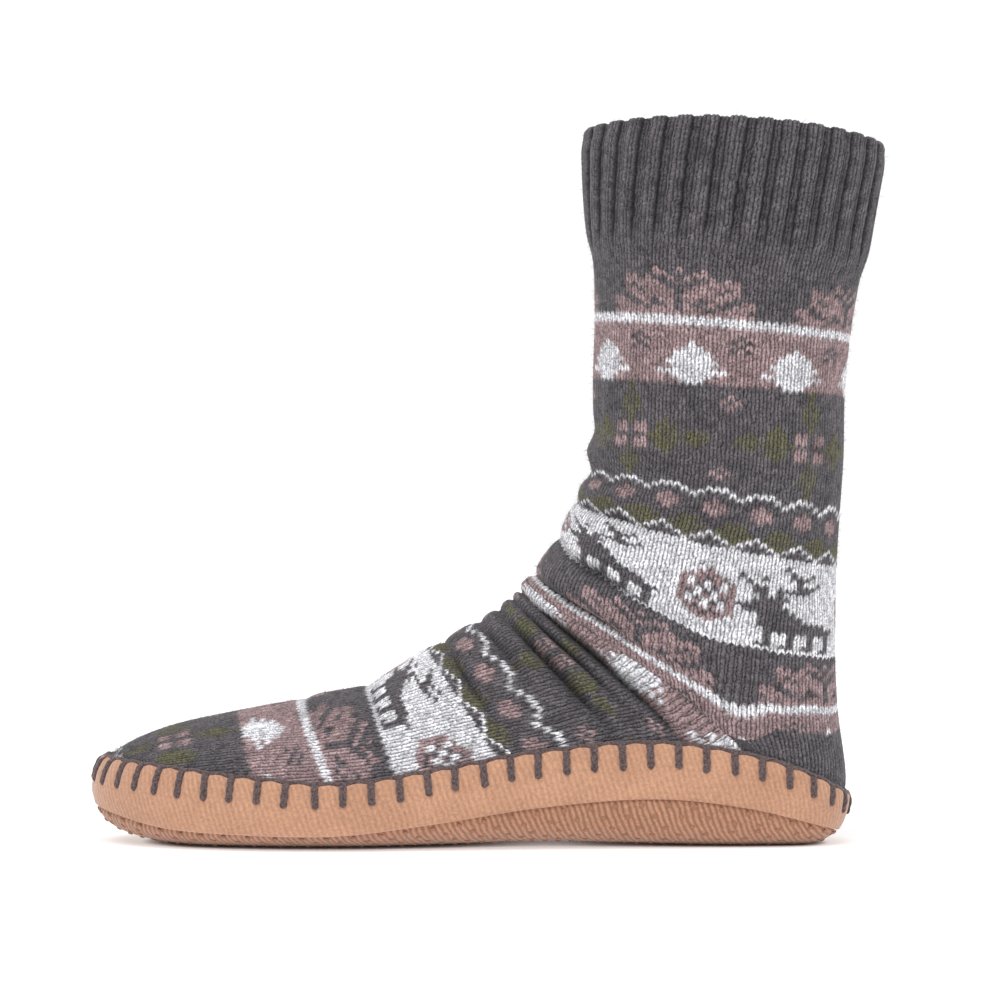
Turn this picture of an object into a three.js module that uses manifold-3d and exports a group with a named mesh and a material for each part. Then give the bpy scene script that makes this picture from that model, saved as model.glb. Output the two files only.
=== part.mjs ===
import * as THREE from "three";
import { mergeVertices } from "three/addons/utils/BufferGeometryUtils.js";
import Module from "manifold-3d";

// A knitted slipper sock for the left foot, standing empty on its sole.
// Millimetres, +Z up, toe towards -X, heel towards +X, outer side of the foot towards -Y.

// Walls and clearances
const KNIT_WALL = 3;
const BAND_WALL = 2;
const SOLE_WALL = 1.8;
const INSOLE_WALL = 3.5;
const SEAT_GAP = 0.3;
const FACET_EASE = 0.2;
const TUCK_DEPTH = 9;

// Ribbed cuff: how far it stands off the leg, at its hem too, how deep its ribs are, and the sections
// where the ribs and the cuff end
const CUFF_STEP = 0.5;
const CUFF_HEM = 0.25;
const RIB_DEPTH = 1.3;
const RIB_COUNT = 32;
const CUFF_END = 2.2;
const RIBS_END = 1.65;

// The floor, and a level well under it where cutting forms end
const FLOOR = 0;
const DEEP = -30;

// Facets round a section
const OUTSIDE_COLUMNS = 34;
const INSIDE_COLUMNS = 24;

// Sections of the last, from the collar to the tip of the toe. Each lies in the plane through its
// front and back points of the side view. half is half its width, swing moves its middle towards the
// inner side, widest is the share of the way from front to back where it is widest, and crown and
// base are the squareness of its front and back halves, 2 being an ellipse.
const SECTIONS = table("frontX frontZ backX backZ half swing widest crown base", [
  [35.0, 252.0, 139.4, 246.6, 43.0, 0.0, 0.50, 2.1, 2.1], // collar
  [35.8, 229.0, 135.2, 224.0, 43.0, 0.0, 0.50, 2.1, 2.1], // cuff
  [37.4, 208.0, 131.4, 201.0, 42.5, 0.0, 0.50, 2.1, 2.1], // below the cuff
  [38.0, 187.0, 127.8, 179.5, 42.0, 0.0, 0.50, 2.1, 2.1], // calf
  [37.4, 165.0, 126.0, 158.0, 41.6, 0.0, 0.50, 2.1, 2.1], // leg
  [37.2, 144.0, 125.4, 136.0, 41.0, 0.0, 0.50, 2.1, 2.1], // lower leg
  [34.6, 128.0, 124.0, 115.5, 39.5, 0.0, 0.51, 2.1, 2.1], // above the ankle
  [27.4, 110.0, 123.0, 97.0, 38.0, 0.0, 0.52, 2.1, 2.1], // ankle
  [20.4, 98.0, 122.4, 68.0, 36.5, 0.0, 0.54, 2.1, 2.2], // bend of the ankle
  [16.2, 92.6, 123.4, 46.0, 35.5, 0.0, 0.57, 2.1, 2.3], // top of the heel
  [13.2, 89.4, 126.0, 20.5, 34.8, 0.0, 0.62, 2.0, 2.4], // back of the heel
  [10.0, 86.4, 119.6, 4.0, 34.4, 0.0, 0.64, 2.0, 2.6], // corner of the heel
  [4.6, 81.8, 95.0, 1.6, 34.6, -0.3, 0.66, 2.0, 3.0], // heel seat
  [-6.5, 75.0, 45.0, 2.8, 36.0, -1.6, 0.66, 2.0, 3.2], // waist
  [-20.0, 67.6, 17.0, 3.4, 38.4, -1.6, 0.66, 2.1, 3.2], // instep
  [-43.5, 54.4, -25.0, 2.0, 44.6, -0.4, 0.68, 2.2, 3.0], // throat
  [-66.7, 50.2, -49.5, 1.6, 48.2, 0.4, 0.70, 2.2, 3.0], // ball
  [-89.0, 46.0, -80.0, 1.6, 46.6, 1.8, 0.70, 2.2, 3.0], // fore ball
  [-111.5, 41.0, -107.0, 2.0, 38.8, 3.4, 0.66, 2.2, 2.8], // toe box
  [-127.2, 34.8, -125.0, 4.6, 27.0, 4.6, 0.60, 2.2, 2.4], // toe
  [-136.0, 28.0, -134.8, 9.6, 14.6, 5.2, 0.54, 2.1, 2.1], // front of the toe
  [-139.0, 18.8, -139.0, 18.6, 0.2, 5.4, 0.50, 2.0, 2.0], // tip
]);
// The collar's sides stand this much higher than its front and back, fading out down the cuff
const COLLAR_RISE = 4;

// Rolls of loose knit over the front of the ankle: the section that each follows, its height, its
// half breadth in sections, and how far round from the front it fades out, in degrees. A roll keeps
// its full height over the first share of that reach.
const FOLD_FULL_SHARE = 0.4;
const FOLDS = table("section height breadth reach", [
  [6.5, 1.6, 0.30, 85],
  [7.45, 1.8, 0.28, 95],
  [8.25, 2.6, 0.32, 115],
  [9.35, 2.2, 0.36, 110],
  [10.9, 2.0, 0.45, 90],
  [12.0, 1.9, 0.28, 90],
  [12.75, 1.9, 0.22, 85],
  [13.4, 1.7, 0.20, 80],
  [14.05, 1.6, 0.20, 75],
  [15.3, 1.2, 0.24, 80],
]);

// Heights of the suede's upper edge and of its seam with the sole, along the foot
const EDGES = table("x rim seam", [
  [-141, 29.6, 15.0],
  [-114, 27.6, 8.7],
  [-85, 24.9, 7.0],
  [-52, 22.8, 6.9],
  [-18, 27.4, 10.4],
  [18, 33.6, 15.2],
  [58, 36.6, 17.7],
  [90, 32.7, 14.6],
  [112, 25.2, 9.2],
  [129, 15.2, 3.4],
]);

// Steps along the sections at which a form takes its rings
const UPPER_OUTSIDE_STEPS = table("from to step", [
  [0, 6, 1],
  [6, 15.5, 0.25],
  [15.5, 20, 0.5],
  [20, 20.8, 0.4],
]);
const UPPER_INSIDE_STEPS = table("from to step", [
  [0, 20, 1],
  [20, 20.8, 0.4],
]);
const SOLE_STEPS = table("from to step", [
  [8, 10, 1],
  [10, 13, 0.25],
  [13, 20, 0.5],
  [20, 20.8, 0.4],
]);
const CUFF_STEPS = table("from to step", [[0, CUFF_END, CUFF_END / 4]]);

const TIP = SECTIONS.length - 1;
const FULL_TURN = 2 * Math.PI;

const wasm = await Module();
wasm.setup();

function table(columns, rows) {
  const names = columns.split(" ");
  return rows.map((row) => Object.fromEntries(names.map((name, i) => [name, row[i]])));
}

function clamp(value, low, high) {
  return Math.min(high, Math.max(low, value));
}

// A column of the sections, smoothed between its rows
function sectionValue(column, s) {
  const i = clamp(Math.floor(s), 0, TIP - 1);
  const at = (row) => SECTIONS[clamp(row, 0, TIP)][column];
  const slopeHere = (at(i + 1) - at(i - 1)) / 2;
  const slopeNext = (at(i + 2) - at(i)) / 2;
  return hermite(s - i, at(i), at(i + 1), slopeHere, slopeNext);
}

function hermite(u, start, end, slopeStart, slopeEnd) {
  const u2 = u * u;
  const u3 = u2 * u;
  return (
    (2 * u3 - 3 * u2 + 1) * start +
    (u3 - 2 * u2 + u) * slopeStart +
    (3 * u2 - 2 * u3) * end +
    (u3 - u2) * slopeEnd
  );
}

// Height of an edge line at a place along the foot
function edgeHeight(column, x) {
  const last = EDGES.length - 1;
  const row = (i) => EDGES[clamp(i, 0, last)];
  const slope = (i) => {
    const before = row(i - 1);
    const after = row(i + 1);
    return (after[column] - before[column]) / (after.x - before.x);
  };
  const inside = clamp(x, row(0).x, row(last).x);
  const next = clamp(EDGES.findIndex((edge) => edge.x >= inside), 1, last);
  const start = row(next - 1);
  const end = row(next);
  const span = end.x - start.x;
  const u = (inside - start.x) / span;
  return hermite(u, start[column], end[column], slope(next - 1) * span, slope(next) * span);
}

function signedPower(value, power) {
  return Math.sign(value) * Math.abs(value) ** power;
}

// A point of the smooth last at section s; angle 0 is the front or top, half a turn the back or sole,
// and the first half turn passes the outer side
function lastPoint(s, angle) {
  const value = (column) => sectionValue(column, s);
  const along = Math.cos(angle);
  const across = Math.sin(angle);
  const power = 2 / (along > 0 ? value("crown") : value("base"));
  const widest = value("widest");
  const reach = signedPower(along, power) * (along > 0 ? widest : 1 - widest);
  const share = widest - reach;
  const rise = COLLAR_RISE * across ** 2 * (1 - THREE.MathUtils.smoothstep(s, 0, CUFF_END));
  return new THREE.Vector3(
    THREE.MathUtils.lerp(value("frontX"), value("backX"), share),
    value("swing") - value("half") * signedPower(across, power),
    THREE.MathUtils.lerp(value("frontZ"), value("backZ"), share) + rise,
  );
}

function lastNormal(s, angle) {
  const ds = 0.02;
  const dAngle = 0.02;
  const s0 = clamp(s, ds, TIP - 2 * ds);
  const alongLast = lastPoint(s0 + ds, angle).sub(lastPoint(s0 - ds, angle));
  const roundLast = lastPoint(s0, angle + dAngle).sub(lastPoint(s0, angle - dAngle));
  return alongLast.cross(roundLast).normalize();
}

// How far the rolls of loose knit lift the surface
function foldLift(s, angle) {
  const fromFront = Math.abs(THREE.MathUtils.euclideanModulo(angle + Math.PI, FULL_TURN) - Math.PI);
  const turn = THREE.MathUtils.radToDeg(fromFront);
  let lift = 0;
  for (const fold of FOLDS) {
    const full = fold.reach * FOLD_FULL_SHARE;
    const fade = 1 - THREE.MathUtils.smoothstep(turn, full, fold.reach);
    const near = Math.exp(-(((s - fold.section) / fold.breadth) ** 2));
    lift += fade * fold.height * near;
  }
  return lift;
}

// Angles that share a section's girth evenly
function evenAngles(s, shares) {
  const fine = 240;
  const lengths = [0];
  let before = lastPoint(s, 0);
  for (let i = 1; i <= fine; i += 1) {
    const point = lastPoint(s, (i / fine) * FULL_TURN);
    lengths.push(lengths[i - 1] + point.distanceTo(before));
    before = point;
  }
  return shares.map((share) => {
    const wanted = share * lengths[fine];
    const next = Math.max(1, lengths.findIndex((length) => length >= wanted));
    const part = (wanted - lengths[next - 1]) / (lengths[next] - lengths[next - 1]);
    return ((next - 1 + part) / fine) * FULL_TURN;
  });
}

function evenShares(count) {
  return Array.from({ length: count }, (_, i) => i / count);
}

function stations(steps) {
  const list = [steps[0].from];
  for (const { from, to, step } of steps) {
    const count = Math.round((to - from) / step);
    for (let i = 1; i <= count; i += 1) {
      list.push(from + ((to - from) * i) / count);
    }
  }
  return list;
}

// A ring of points round section s, standing off the last by stand(s, angle, column)
function ring(s, shares, stand) {
  return evenAngles(s, shares).map((angle, column) =>
    lastPoint(s, angle).addScaledVector(lastNormal(s, angle), stand(s, angle, column)),
  );
}

function middle(points) {
  return points.reduce((sum, point) => sum.add(point), new THREE.Vector3()).divideScalar(points.length);
}

// A closed solid through rings of equal count, with a fan to a point at each end
function loft(rings, startPoint, endPoint) {
  const count = rings[0].length;
  const points = [startPoint, ...rings.flat(), endPoint];
  const vertex = (row, column) => 1 + row * count + (column % count);
  const triangles = [];
  for (let column = 0; column < count; column += 1) {
    triangles.push(0, vertex(0, column), vertex(0, column + 1));
    for (let row = 0; row < rings.length - 1; row += 1) {
      const a = vertex(row, column);
      const b = vertex(row, column + 1);
      const c = vertex(row + 1, column + 1);
      const d = vertex(row + 1, column);
      triangles.push(a, d, c, a, c, b);
    }
    const lastRow = rings.length - 1;
    triangles.push(points.length - 1, vertex(lastRow, column + 1), vertex(lastRow, column));
  }
  const geometry = new THREE.BufferGeometry();
  geometry.setAttribute("position", new THREE.Float32BufferAttribute(points.flatMap((p) => p.toArray()), 3));
  geometry.setIndex(triangles);
  return solid(geometry);
}

// The whole last from its first ring down to the tip of the toe, grown or shrunk by offset
function lastForm(steps, columns, offset, relief = () => 0) {
  const shares = evenShares(columns);
  const rings = stations(steps).map((s) => ring(s, shares, (...place) => offset + relief(...place)));
  const tip = lastPoint(TIP, 0).add(new THREE.Vector3(-offset, 0, 0));
  return loft(rings, middle(rings[0]), tip);
}

function solid(geometry) {
  geometry.deleteAttribute("normal");
  geometry.deleteAttribute("uv");
  const merged = mergeVertices(geometry, 1e-5);
  return new wasm.Manifold(
    new wasm.Mesh({
      numProp: 3,
      vertProperties: new Float32Array(merged.attributes.position.array),
      triVerts: new Uint32Array(merged.index.array),
    }),
  );
}

// An outline of the side view, right across the foot
function sidePrism(outline) {
  const breadth = 200;
  const shape = new THREE.Shape(outline.map(([x, z]) => new THREE.Vector2(x, z)));
  const geometry = new THREE.ExtrudeGeometry(shape, { depth: breadth, bevelEnabled: false });
  geometry.rotateX(Math.PI / 2);
  geometry.translate(0, breadth / 2, 0);
  return solid(geometry);
}

// Everything below an edge line, lowered by drop, down to a level
function belowEdge(column, drop, level) {
  const ends = { left: -146, right: 134, steps: 40 };
  const outline = [];
  for (let i = 0; i <= ends.steps; i += 1) {
    const x = THREE.MathUtils.lerp(ends.left, ends.right, i / ends.steps);
    outline.push([x, edgeHeight(column, x) - drop]);
  }
  outline.push([ends.right, level], [ends.left, level]);
  return sidePrism(outline);
}

function part(name, manifold, finish) {
  const mesh = manifold.getMesh();
  const geometry = new THREE.BufferGeometry();
  geometry.setAttribute("position", new THREE.Float32BufferAttribute(mesh.vertProperties, 3));
  geometry.setIndex([...mesh.triVerts]);
  geometry.computeVertexNormals();
  const built = new THREE.Mesh(geometry, new THREE.MeshStandardMaterial({ metalness: 0, ...finish }));
  built.name = name;
  return built;
}

// Ribbed cuff: a ring that stands off the leg, with a raised pair of wales and a sunk one in each rib
function ribbedCuff() {
  const ribSteps = table("share rise", [
    [0.06, 0],
    [0.22, 1],
    [0.62, 1],
    [0.78, 0],
  ]);
  const shares = evenShares(RIB_COUNT).flatMap((start) => ribSteps.map(({ share }) => start + share / RIB_COUNT));
  const stand = (s, angle, column) => {
    const ending = THREE.MathUtils.smoothstep(s, RIBS_END, CUFF_END);
    const rib = CUFF_STEP + RIB_DEPTH * ribSteps[column % ribSteps.length].rise;
    return THREE.MathUtils.lerp(rib, CUFF_HEM, ending);
  };
  const rings = stations(CUFF_STEPS).map((s) => ring(s, shares, stand));
  return loft(rings, middle(rings[0]), middle(rings.at(-1)));
}

// The hollow of the foot and leg, carried on past the collar so that it opens there
function hollow() {
  const shares = evenShares(INSIDE_COLUMNS);
  const rings = stations(UPPER_INSIDE_STEPS).map((s) => ring(s, shares, () => -KNIT_WALL));
  const collarWay = new THREE.Vector3(1, 0, 12);
  const pastCollar = rings[0].map((point) => point.clone().add(collarWay));
  rings.unshift(pastCollar);
  const tip = lastPoint(TIP, 0).add(new THREE.Vector3(KNIT_WALL, 0, 0));
  return loft(rings, middle(pastCollar), tip);
}

// Knitted upper: the last's skin with its cuff and rolls, hollow, open at the collar and underneath
function knitUpper() {
  const outside = lastForm(UPPER_OUTSIDE_STEPS, OUTSIDE_COLUMNS, 0, foldLift).add(ribbedCuff());
  return outside.subtract(hollow()).subtract(belowEdge("rim", TUCK_DEPTH, DEEP));
}

// Suede band: the skin round the foot from the sole's seam up to the rim
function suedeBand() {
  const skin = lastForm(SOLE_STEPS, OUTSIDE_COLUMNS, SEAT_GAP + BAND_WALL);
  const room = lastForm(SOLE_STEPS, OUTSIDE_COLUMNS, SEAT_GAP + FACET_EASE);
  const strip = belowEdge("rim", 0, DEEP).subtract(belowEdge("seam", -SEAT_GAP / 2, 2 * DEEP));
  return skin.subtract(room).intersect(strip);
}

// Grip sole: the skin under the foot up to the seam, trimmed flat where it stands on the floor
function gripSole() {
  const skin = lastForm(SOLE_STEPS, OUTSIDE_COLUMNS, SEAT_GAP + SOLE_WALL);
  const room = lastForm(SOLE_STEPS, OUTSIDE_COLUMNS, SEAT_GAP);
  return skin.subtract(room).intersect(belowEdge("seam", SEAT_GAP / 2, FLOOR));
}

// Insole pad: the bottom of the last, a pad's thickness deep, climbing a little at heel and toe
function insolePad() {
  const heelEnd = 10.6;
  const toeEnd = 19.4;
  const climb = 4;
  const steps = 36;
  const outline = [];
  for (let i = 0; i <= steps; i += 1) {
    const s = THREE.MathUtils.lerp(toeEnd, heelEnd, i / steps);
    outline.push([sectionValue("backX", s), Math.min(sectionValue("backZ", s), climb) + INSOLE_WALL]);
  }
  outline.push([outline.at(-1)[0], DEEP], [outline[0][0], DEEP]);
  return lastForm(SOLE_STEPS, OUTSIDE_COLUMNS, 0).intersect(sidePrism(outline));
}

const slipperSock = new THREE.Group();
slipperSock.add(
  part("knit_upper", knitUpper(), { color: 0x56525a, roughness: 0.95 }),
  part("suede_band", suedeBand(), { color: 0xcd9e82, roughness: 0.9 }),
  part("grip_sole", gripSole(), { color: 0xb1836a, roughness: 0.85 }),
  part("insole_pad", insolePad(), { color: 0x8d8585, roughness: 0.95 }),
);

export default slipperSock;
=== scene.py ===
# %% [markdown]
# # A knitted slipper sock
# The sock is a tube of patterned knit with a ribbed cuff, set into a band of soft suede that is closed
# underneath by a ribbed grip sole. The frame holds its solids at their real size. This lesson dresses
# them: every stitch of the knit, the nap of the suede, the ribs and dots of the sole and the thick
# yarn sewn over the suede's edge.

# %% Load the frame
import math
import bmesh
import bpy
import numpy as np
from mathutils import Matrix, Vector
from mathutils.bvhtree import BVHTree


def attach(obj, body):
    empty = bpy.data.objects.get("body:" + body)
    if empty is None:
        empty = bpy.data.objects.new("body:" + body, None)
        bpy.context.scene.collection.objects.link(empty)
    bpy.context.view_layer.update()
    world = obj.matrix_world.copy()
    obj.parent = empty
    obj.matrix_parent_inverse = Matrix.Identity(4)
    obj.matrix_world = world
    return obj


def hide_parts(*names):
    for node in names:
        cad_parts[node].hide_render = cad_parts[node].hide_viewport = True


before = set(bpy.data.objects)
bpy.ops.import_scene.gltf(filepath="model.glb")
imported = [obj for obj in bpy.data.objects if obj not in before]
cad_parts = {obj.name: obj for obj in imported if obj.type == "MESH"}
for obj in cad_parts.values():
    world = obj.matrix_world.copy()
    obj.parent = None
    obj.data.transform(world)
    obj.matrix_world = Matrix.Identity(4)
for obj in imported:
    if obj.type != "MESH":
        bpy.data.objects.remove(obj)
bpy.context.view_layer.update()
MM = 0.001
print("solids:", sorted(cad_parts))

# %% [markdown]
# ## Camera, floor and light
# The sock is seen square from its outer side, by a long lens at the height of its ankle. A long lens
# keeps the far side nearly as large as the near one. The light is that of a white studio: an even
# glow from all round, one broad soft key from the upper left and a weak fill from the right. Suns
# with a wide angle are used instead of lamps, because they light a large floor evenly. The paper of
# the floor is overexposed except close to the sole, so it glows, less where something stands near.

# %% Camera
CAMERA_PLACE = Vector((4.1, -1500.0, 121.0)) * MM
FOCAL_PX = 4231
IMAGE_PX = 1000

camera_data = bpy.data.cameras.new("camera")
camera_data.lens = camera_data.sensor_width * FOCAL_PX / IMAGE_PX
camera = bpy.data.objects.new("camera", camera_data)
camera.location = CAMERA_PLACE
camera.rotation_euler = (math.radians(90), 0, 0)
bpy.context.scene.collection.objects.link(camera)
bpy.context.scene.camera = camera
print("lens in mm:", round(camera_data.lens, 1))


# %% Helpers for materials
def new_material(name, roughness, sheen=0.0):
    """A material with its node tree and its main shader, the constants set on the shader itself"""
    material = bpy.data.materials.new(name)
    material.use_nodes = True
    shader = material.node_tree.nodes["Principled BSDF"]
    shader.inputs["Roughness"].default_value = roughness
    shader.inputs["Specular IOR Level"].default_value = 0.25
    shader.inputs["Sheen Weight"].default_value = sheen
    shader.inputs["Sheen Roughness"].default_value = 0.5
    return material, material.node_tree, shader


def add_node(tree, kind, settings=None, **values):
    """A node with its settings and the values of its sockets, spaces in a socket's name as _"""
    node = tree.nodes.new(kind)
    for name, value in (settings or {}).items():
        setattr(node, name, value)
    for name, value in values.items():
        node.inputs[name.replace("_", " ")].default_value = value
    return node


def feed(tree, sockets, values):
    """Sets each socket to its value, or links it where the value is an output socket"""
    for socket, value in zip(sockets, values):
        if isinstance(value, bpy.types.NodeSocket):
            tree.links.new(value, socket)
        else:
            socket.default_value = value


# %% Floor
FLOOR_REACH = 6.0
FLOOR_DROP = 0.2 * MM
PAPER_GLOW = 0.46
PAPER_GREY = 0.78
SHADE_REACH = 3 * MM
SHADE_FULL, SHADE_NONE = 0.1, 0.5


def mesh_from(shape, name):
    """Turns a shape in the making into a mesh of that name"""
    mesh = bpy.data.meshes.new(name)
    shape.to_mesh(mesh)
    shape.free()
    return mesh


shape = bmesh.new()
bmesh.ops.create_circle(shape, cap_ends=True, segments=64, radius=FLOOR_REACH)
bmesh.ops.translate(shape, verts=shape.verts, vec=(0, 0, -FLOOR_DROP))
floor_mesh = mesh_from(shape, "floor")
floor = bpy.data.objects.new("floor", floor_mesh)
bpy.context.scene.collection.objects.link(floor)
paper, paper_tree, paper_shader = new_material("floor_paper", 0.9)
paper_shader.inputs["Base Color"].default_value = (PAPER_GREY, PAPER_GREY, PAPER_GREY, 1)
paper_shader.inputs["Emission Color"].default_value = (1, 1, 1, 1)
# painted contact shadow: the paper's glow is dimmed where the sole stands near
near = add_node(paper_tree, "ShaderNodeAmbientOcclusion", {"samples": 8}, Distance=SHADE_REACH)
bright = add_node(
    paper_tree, "ShaderNodeMapRange", From_Min=SHADE_FULL, From_Max=SHADE_NONE, To_Max=PAPER_GLOW
)
paper_tree.links.new(near.outputs["AO"], bright.inputs["Value"])
paper_tree.links.new(bright.outputs["Result"], paper_shader.inputs["Emission Strength"])
floor_mesh.materials.append(paper)
print("floor radius in m:", FLOOR_REACH)

# %% Light
GLOW = 0.5
WHITE_BACKGROUND = 1.05


def soft_sun(name, strength, spread, azimuth, elevation):
    """A sun as wide as a large soft box; azimuth 0 stands at the camera, 90 to its right"""
    light = bpy.data.lights.new(name, "SUN")
    light.energy = strength
    light.angle = math.radians(spread)
    lamp = bpy.data.objects.new(name, light)
    turn, tilt = math.radians(azimuth), math.radians(elevation)
    towards = Vector((math.sin(turn) * math.cos(tilt), -math.cos(turn) * math.cos(tilt), math.sin(tilt)))
    lamp.rotation_euler = towards.to_track_quat("Z", "Y").to_euler()
    bpy.context.scene.collection.objects.link(lamp)


soft_sun("key", strength=1.8, spread=50, azimuth=-24, elevation=58)
soft_sun("fill", strength=0.55, spread=90, azimuth=55, elevation=35)

world = bpy.data.worlds.new("studio")
bpy.context.scene.world = world
world.use_nodes = True
sky = world.node_tree
path = sky.nodes.new("ShaderNodeLightPath")
level = add_node(sky, "ShaderNodeMapRange", To_Min=GLOW, To_Max=WHITE_BACKGROUND)
sky.links.new(path.outputs["Is Camera Ray"], level.inputs["Value"])
sky.links.new(level.outputs["Result"], sky.nodes["Background"].inputs["Strength"])
sky.nodes["Background"].inputs["Color"].default_value = (1, 1, 1, 1)
bpy.context.scene.view_settings.view_transform = "Standard"

# %% [markdown]
# ## The last
# Knit, suede and sole all lie on one body, the last: the shape of the foot and leg inside them. Its
# sections run from the collar to the tip of the toe, each in the slanting plane through its front and
# back points. A formula for the whole last, rather than a mesh of it, lets every stitch be put at its
# own place on a smooth surface. Here all sizes are in millimetres.

# %% Sections of the last
SECTIONS = np.array([
    # front x, front z, back x, back z, half width, swing, widest, crown, base
    [35.0, 252.0, 139.4, 246.6, 43.0, 0.0, 0.50, 2.1, 2.1],  # collar
    [35.8, 229.0, 135.2, 224.0, 43.0, 0.0, 0.50, 2.1, 2.1],  # cuff
    [37.4, 208.0, 131.4, 201.0, 42.5, 0.0, 0.50, 2.1, 2.1],  # below the cuff
    [38.0, 187.0, 127.8, 179.5, 42.0, 0.0, 0.50, 2.1, 2.1],  # calf
    [37.4, 165.0, 126.0, 158.0, 41.6, 0.0, 0.50, 2.1, 2.1],  # leg
    [37.2, 144.0, 125.4, 136.0, 41.0, 0.0, 0.50, 2.1, 2.1],  # lower leg
    [34.6, 128.0, 124.0, 115.5, 39.5, 0.0, 0.51, 2.1, 2.1],  # above the ankle
    [27.4, 110.0, 123.0, 97.0, 38.0, 0.0, 0.52, 2.1, 2.1],  # ankle
    [20.4, 98.0, 122.4, 68.0, 36.5, 0.0, 0.54, 2.1, 2.2],  # bend of the ankle
    [16.2, 92.6, 123.4, 46.0, 35.5, 0.0, 0.57, 2.1, 2.3],  # top of the heel
    [13.2, 89.4, 126.0, 20.5, 34.8, 0.0, 0.62, 2.0, 2.4],  # back of the heel
    [10.0, 86.4, 119.6, 4.0, 34.4, 0.0, 0.64, 2.0, 2.6],  # corner of the heel
    [4.6, 81.8, 95.0, 1.6, 34.6, -0.3, 0.66, 2.0, 3.0],  # heel seat
    [-6.5, 75.0, 45.0, 2.8, 36.0, -1.6, 0.66, 2.0, 3.2],  # waist
    [-20.0, 67.6, 17.0, 3.4, 38.4, -1.6, 0.66, 2.1, 3.2],  # instep
    [-43.5, 54.4, -25.0, 2.0, 44.6, -0.4, 0.68, 2.2, 3.0],  # throat
    [-66.7, 50.2, -49.5, 1.6, 48.2, 0.4, 0.70, 2.2, 3.0],  # ball
    [-89.0, 46.0, -80.0, 1.6, 46.6, 1.8, 0.70, 2.2, 3.0],  # fore ball
    [-111.5, 41.0, -107.0, 2.0, 38.8, 3.4, 0.66, 2.2, 2.8],  # toe box
    [-127.2, 34.8, -125.0, 4.6, 27.0, 4.6, 0.60, 2.2, 2.4],  # toe
    [-136.0, 28.0, -134.8, 9.6, 14.6, 5.2, 0.54, 2.1, 2.1],  # front of the toe
    [-139.0, 18.8, -139.0, 18.6, 0.2, 5.4, 0.50, 2.0, 2.0],  # tip
])
FRONT_X, FRONT_Z, BACK_X, BACK_Z, HALF, SWING, WIDEST, CROWN, BASE = SECTIONS.T
TIP = len(SECTIONS) - 1
print("sections:", len(SECTIONS), " length in mm:", round(BACK_X.max() - FRONT_X.min()))

# %% Points on the last
COLLAR_RISE = 4.0
CUFF_END = 2.2


def smoothstep(value, low, high):
    share = np.clip((value - low) / (high - low), 0, 1)
    return share * share * (3 - 2 * share)


def hermite(u, start, end, slope_start, slope_end):
    return (
        (2 * u**3 - 3 * u**2 + 1) * start
        + (u**3 - 2 * u**2 + u) * slope_start
        + (3 * u**2 - 2 * u**3) * end
        + (u**3 - u**2) * slope_end
    )


def section_value(column, s):
    """A column of the sections, smoothed between its rows"""
    i = np.clip(np.floor(s).astype(int), 0, TIP - 1)
    before, here, after, beyond = (column[np.clip(i + step, 0, TIP)] for step in (-1, 0, 1, 2))
    return hermite(s - i, here, after, (after - before) / 2, (beyond - here) / 2)


def signed_power(value, power):
    return np.sign(value) * np.abs(value) ** power


def last_point(s, angle):
    """Points of the last at sections s; angle 0 is the front or top, half a turn the back or sole"""
    s, angle = np.broadcast_arrays(np.asarray(s, float), np.asarray(angle, float))
    along, across = np.cos(angle), np.sin(angle)
    front = along > 0
    power = 2 / np.where(front, section_value(CROWN, s), section_value(BASE, s))
    widest = section_value(WIDEST, s)
    share = widest - signed_power(along, power) * np.where(front, widest, 1 - widest)
    rise = COLLAR_RISE * across**2 * (1 - smoothstep(s, 0, CUFF_END))
    x = section_value(FRONT_X, s) * (1 - share) + section_value(BACK_X, s) * share
    y = section_value(SWING, s) - section_value(HALF, s) * signed_power(across, power)
    z = section_value(FRONT_Z, s) * (1 - share) + section_value(BACK_Z, s) * share + rise
    return np.stack([x, y, z], axis=-1)


def unit(vectors):
    return vectors / np.maximum(np.linalg.norm(vectors, axis=-1, keepdims=True), 1e-9)


def last_directions(s, angle):
    """Unit vectors down the last, towards the toe, and out of it"""
    step = 0.02
    inside = np.clip(s, step, TIP - 2 * step)
    down = last_point(inside + step, angle) - last_point(inside - step, angle)
    around = last_point(inside, angle + step) - last_point(inside, angle - step)
    return unit(down), unit(np.cross(down, around))


def lengths_along(path):
    """Length of a path up to each of its points"""
    steps = np.linalg.norm(np.diff(path, axis=0), axis=-1)
    return np.concatenate([0 * steps[:1], np.cumsum(steps, axis=0)])


leg_girth = lengths_along(last_point(4, np.linspace(0, 2 * np.pi, 181)))[-1]
print("girth of the leg in mm:", round(leg_girth))

# %% [markdown]
# ## Where the courses of the knit run
# A sock is knitted round and round from the cuff to the toe. One round is a course and one column of
# stitches a wale. The courses crowd together in front of the ankle and spread over the heel, so a
# short table gives the section that a course reaches at seven places from the front to the back, and a
# monotone curve fills in the courses between. The heel has extra rows, at the back only.

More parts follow.
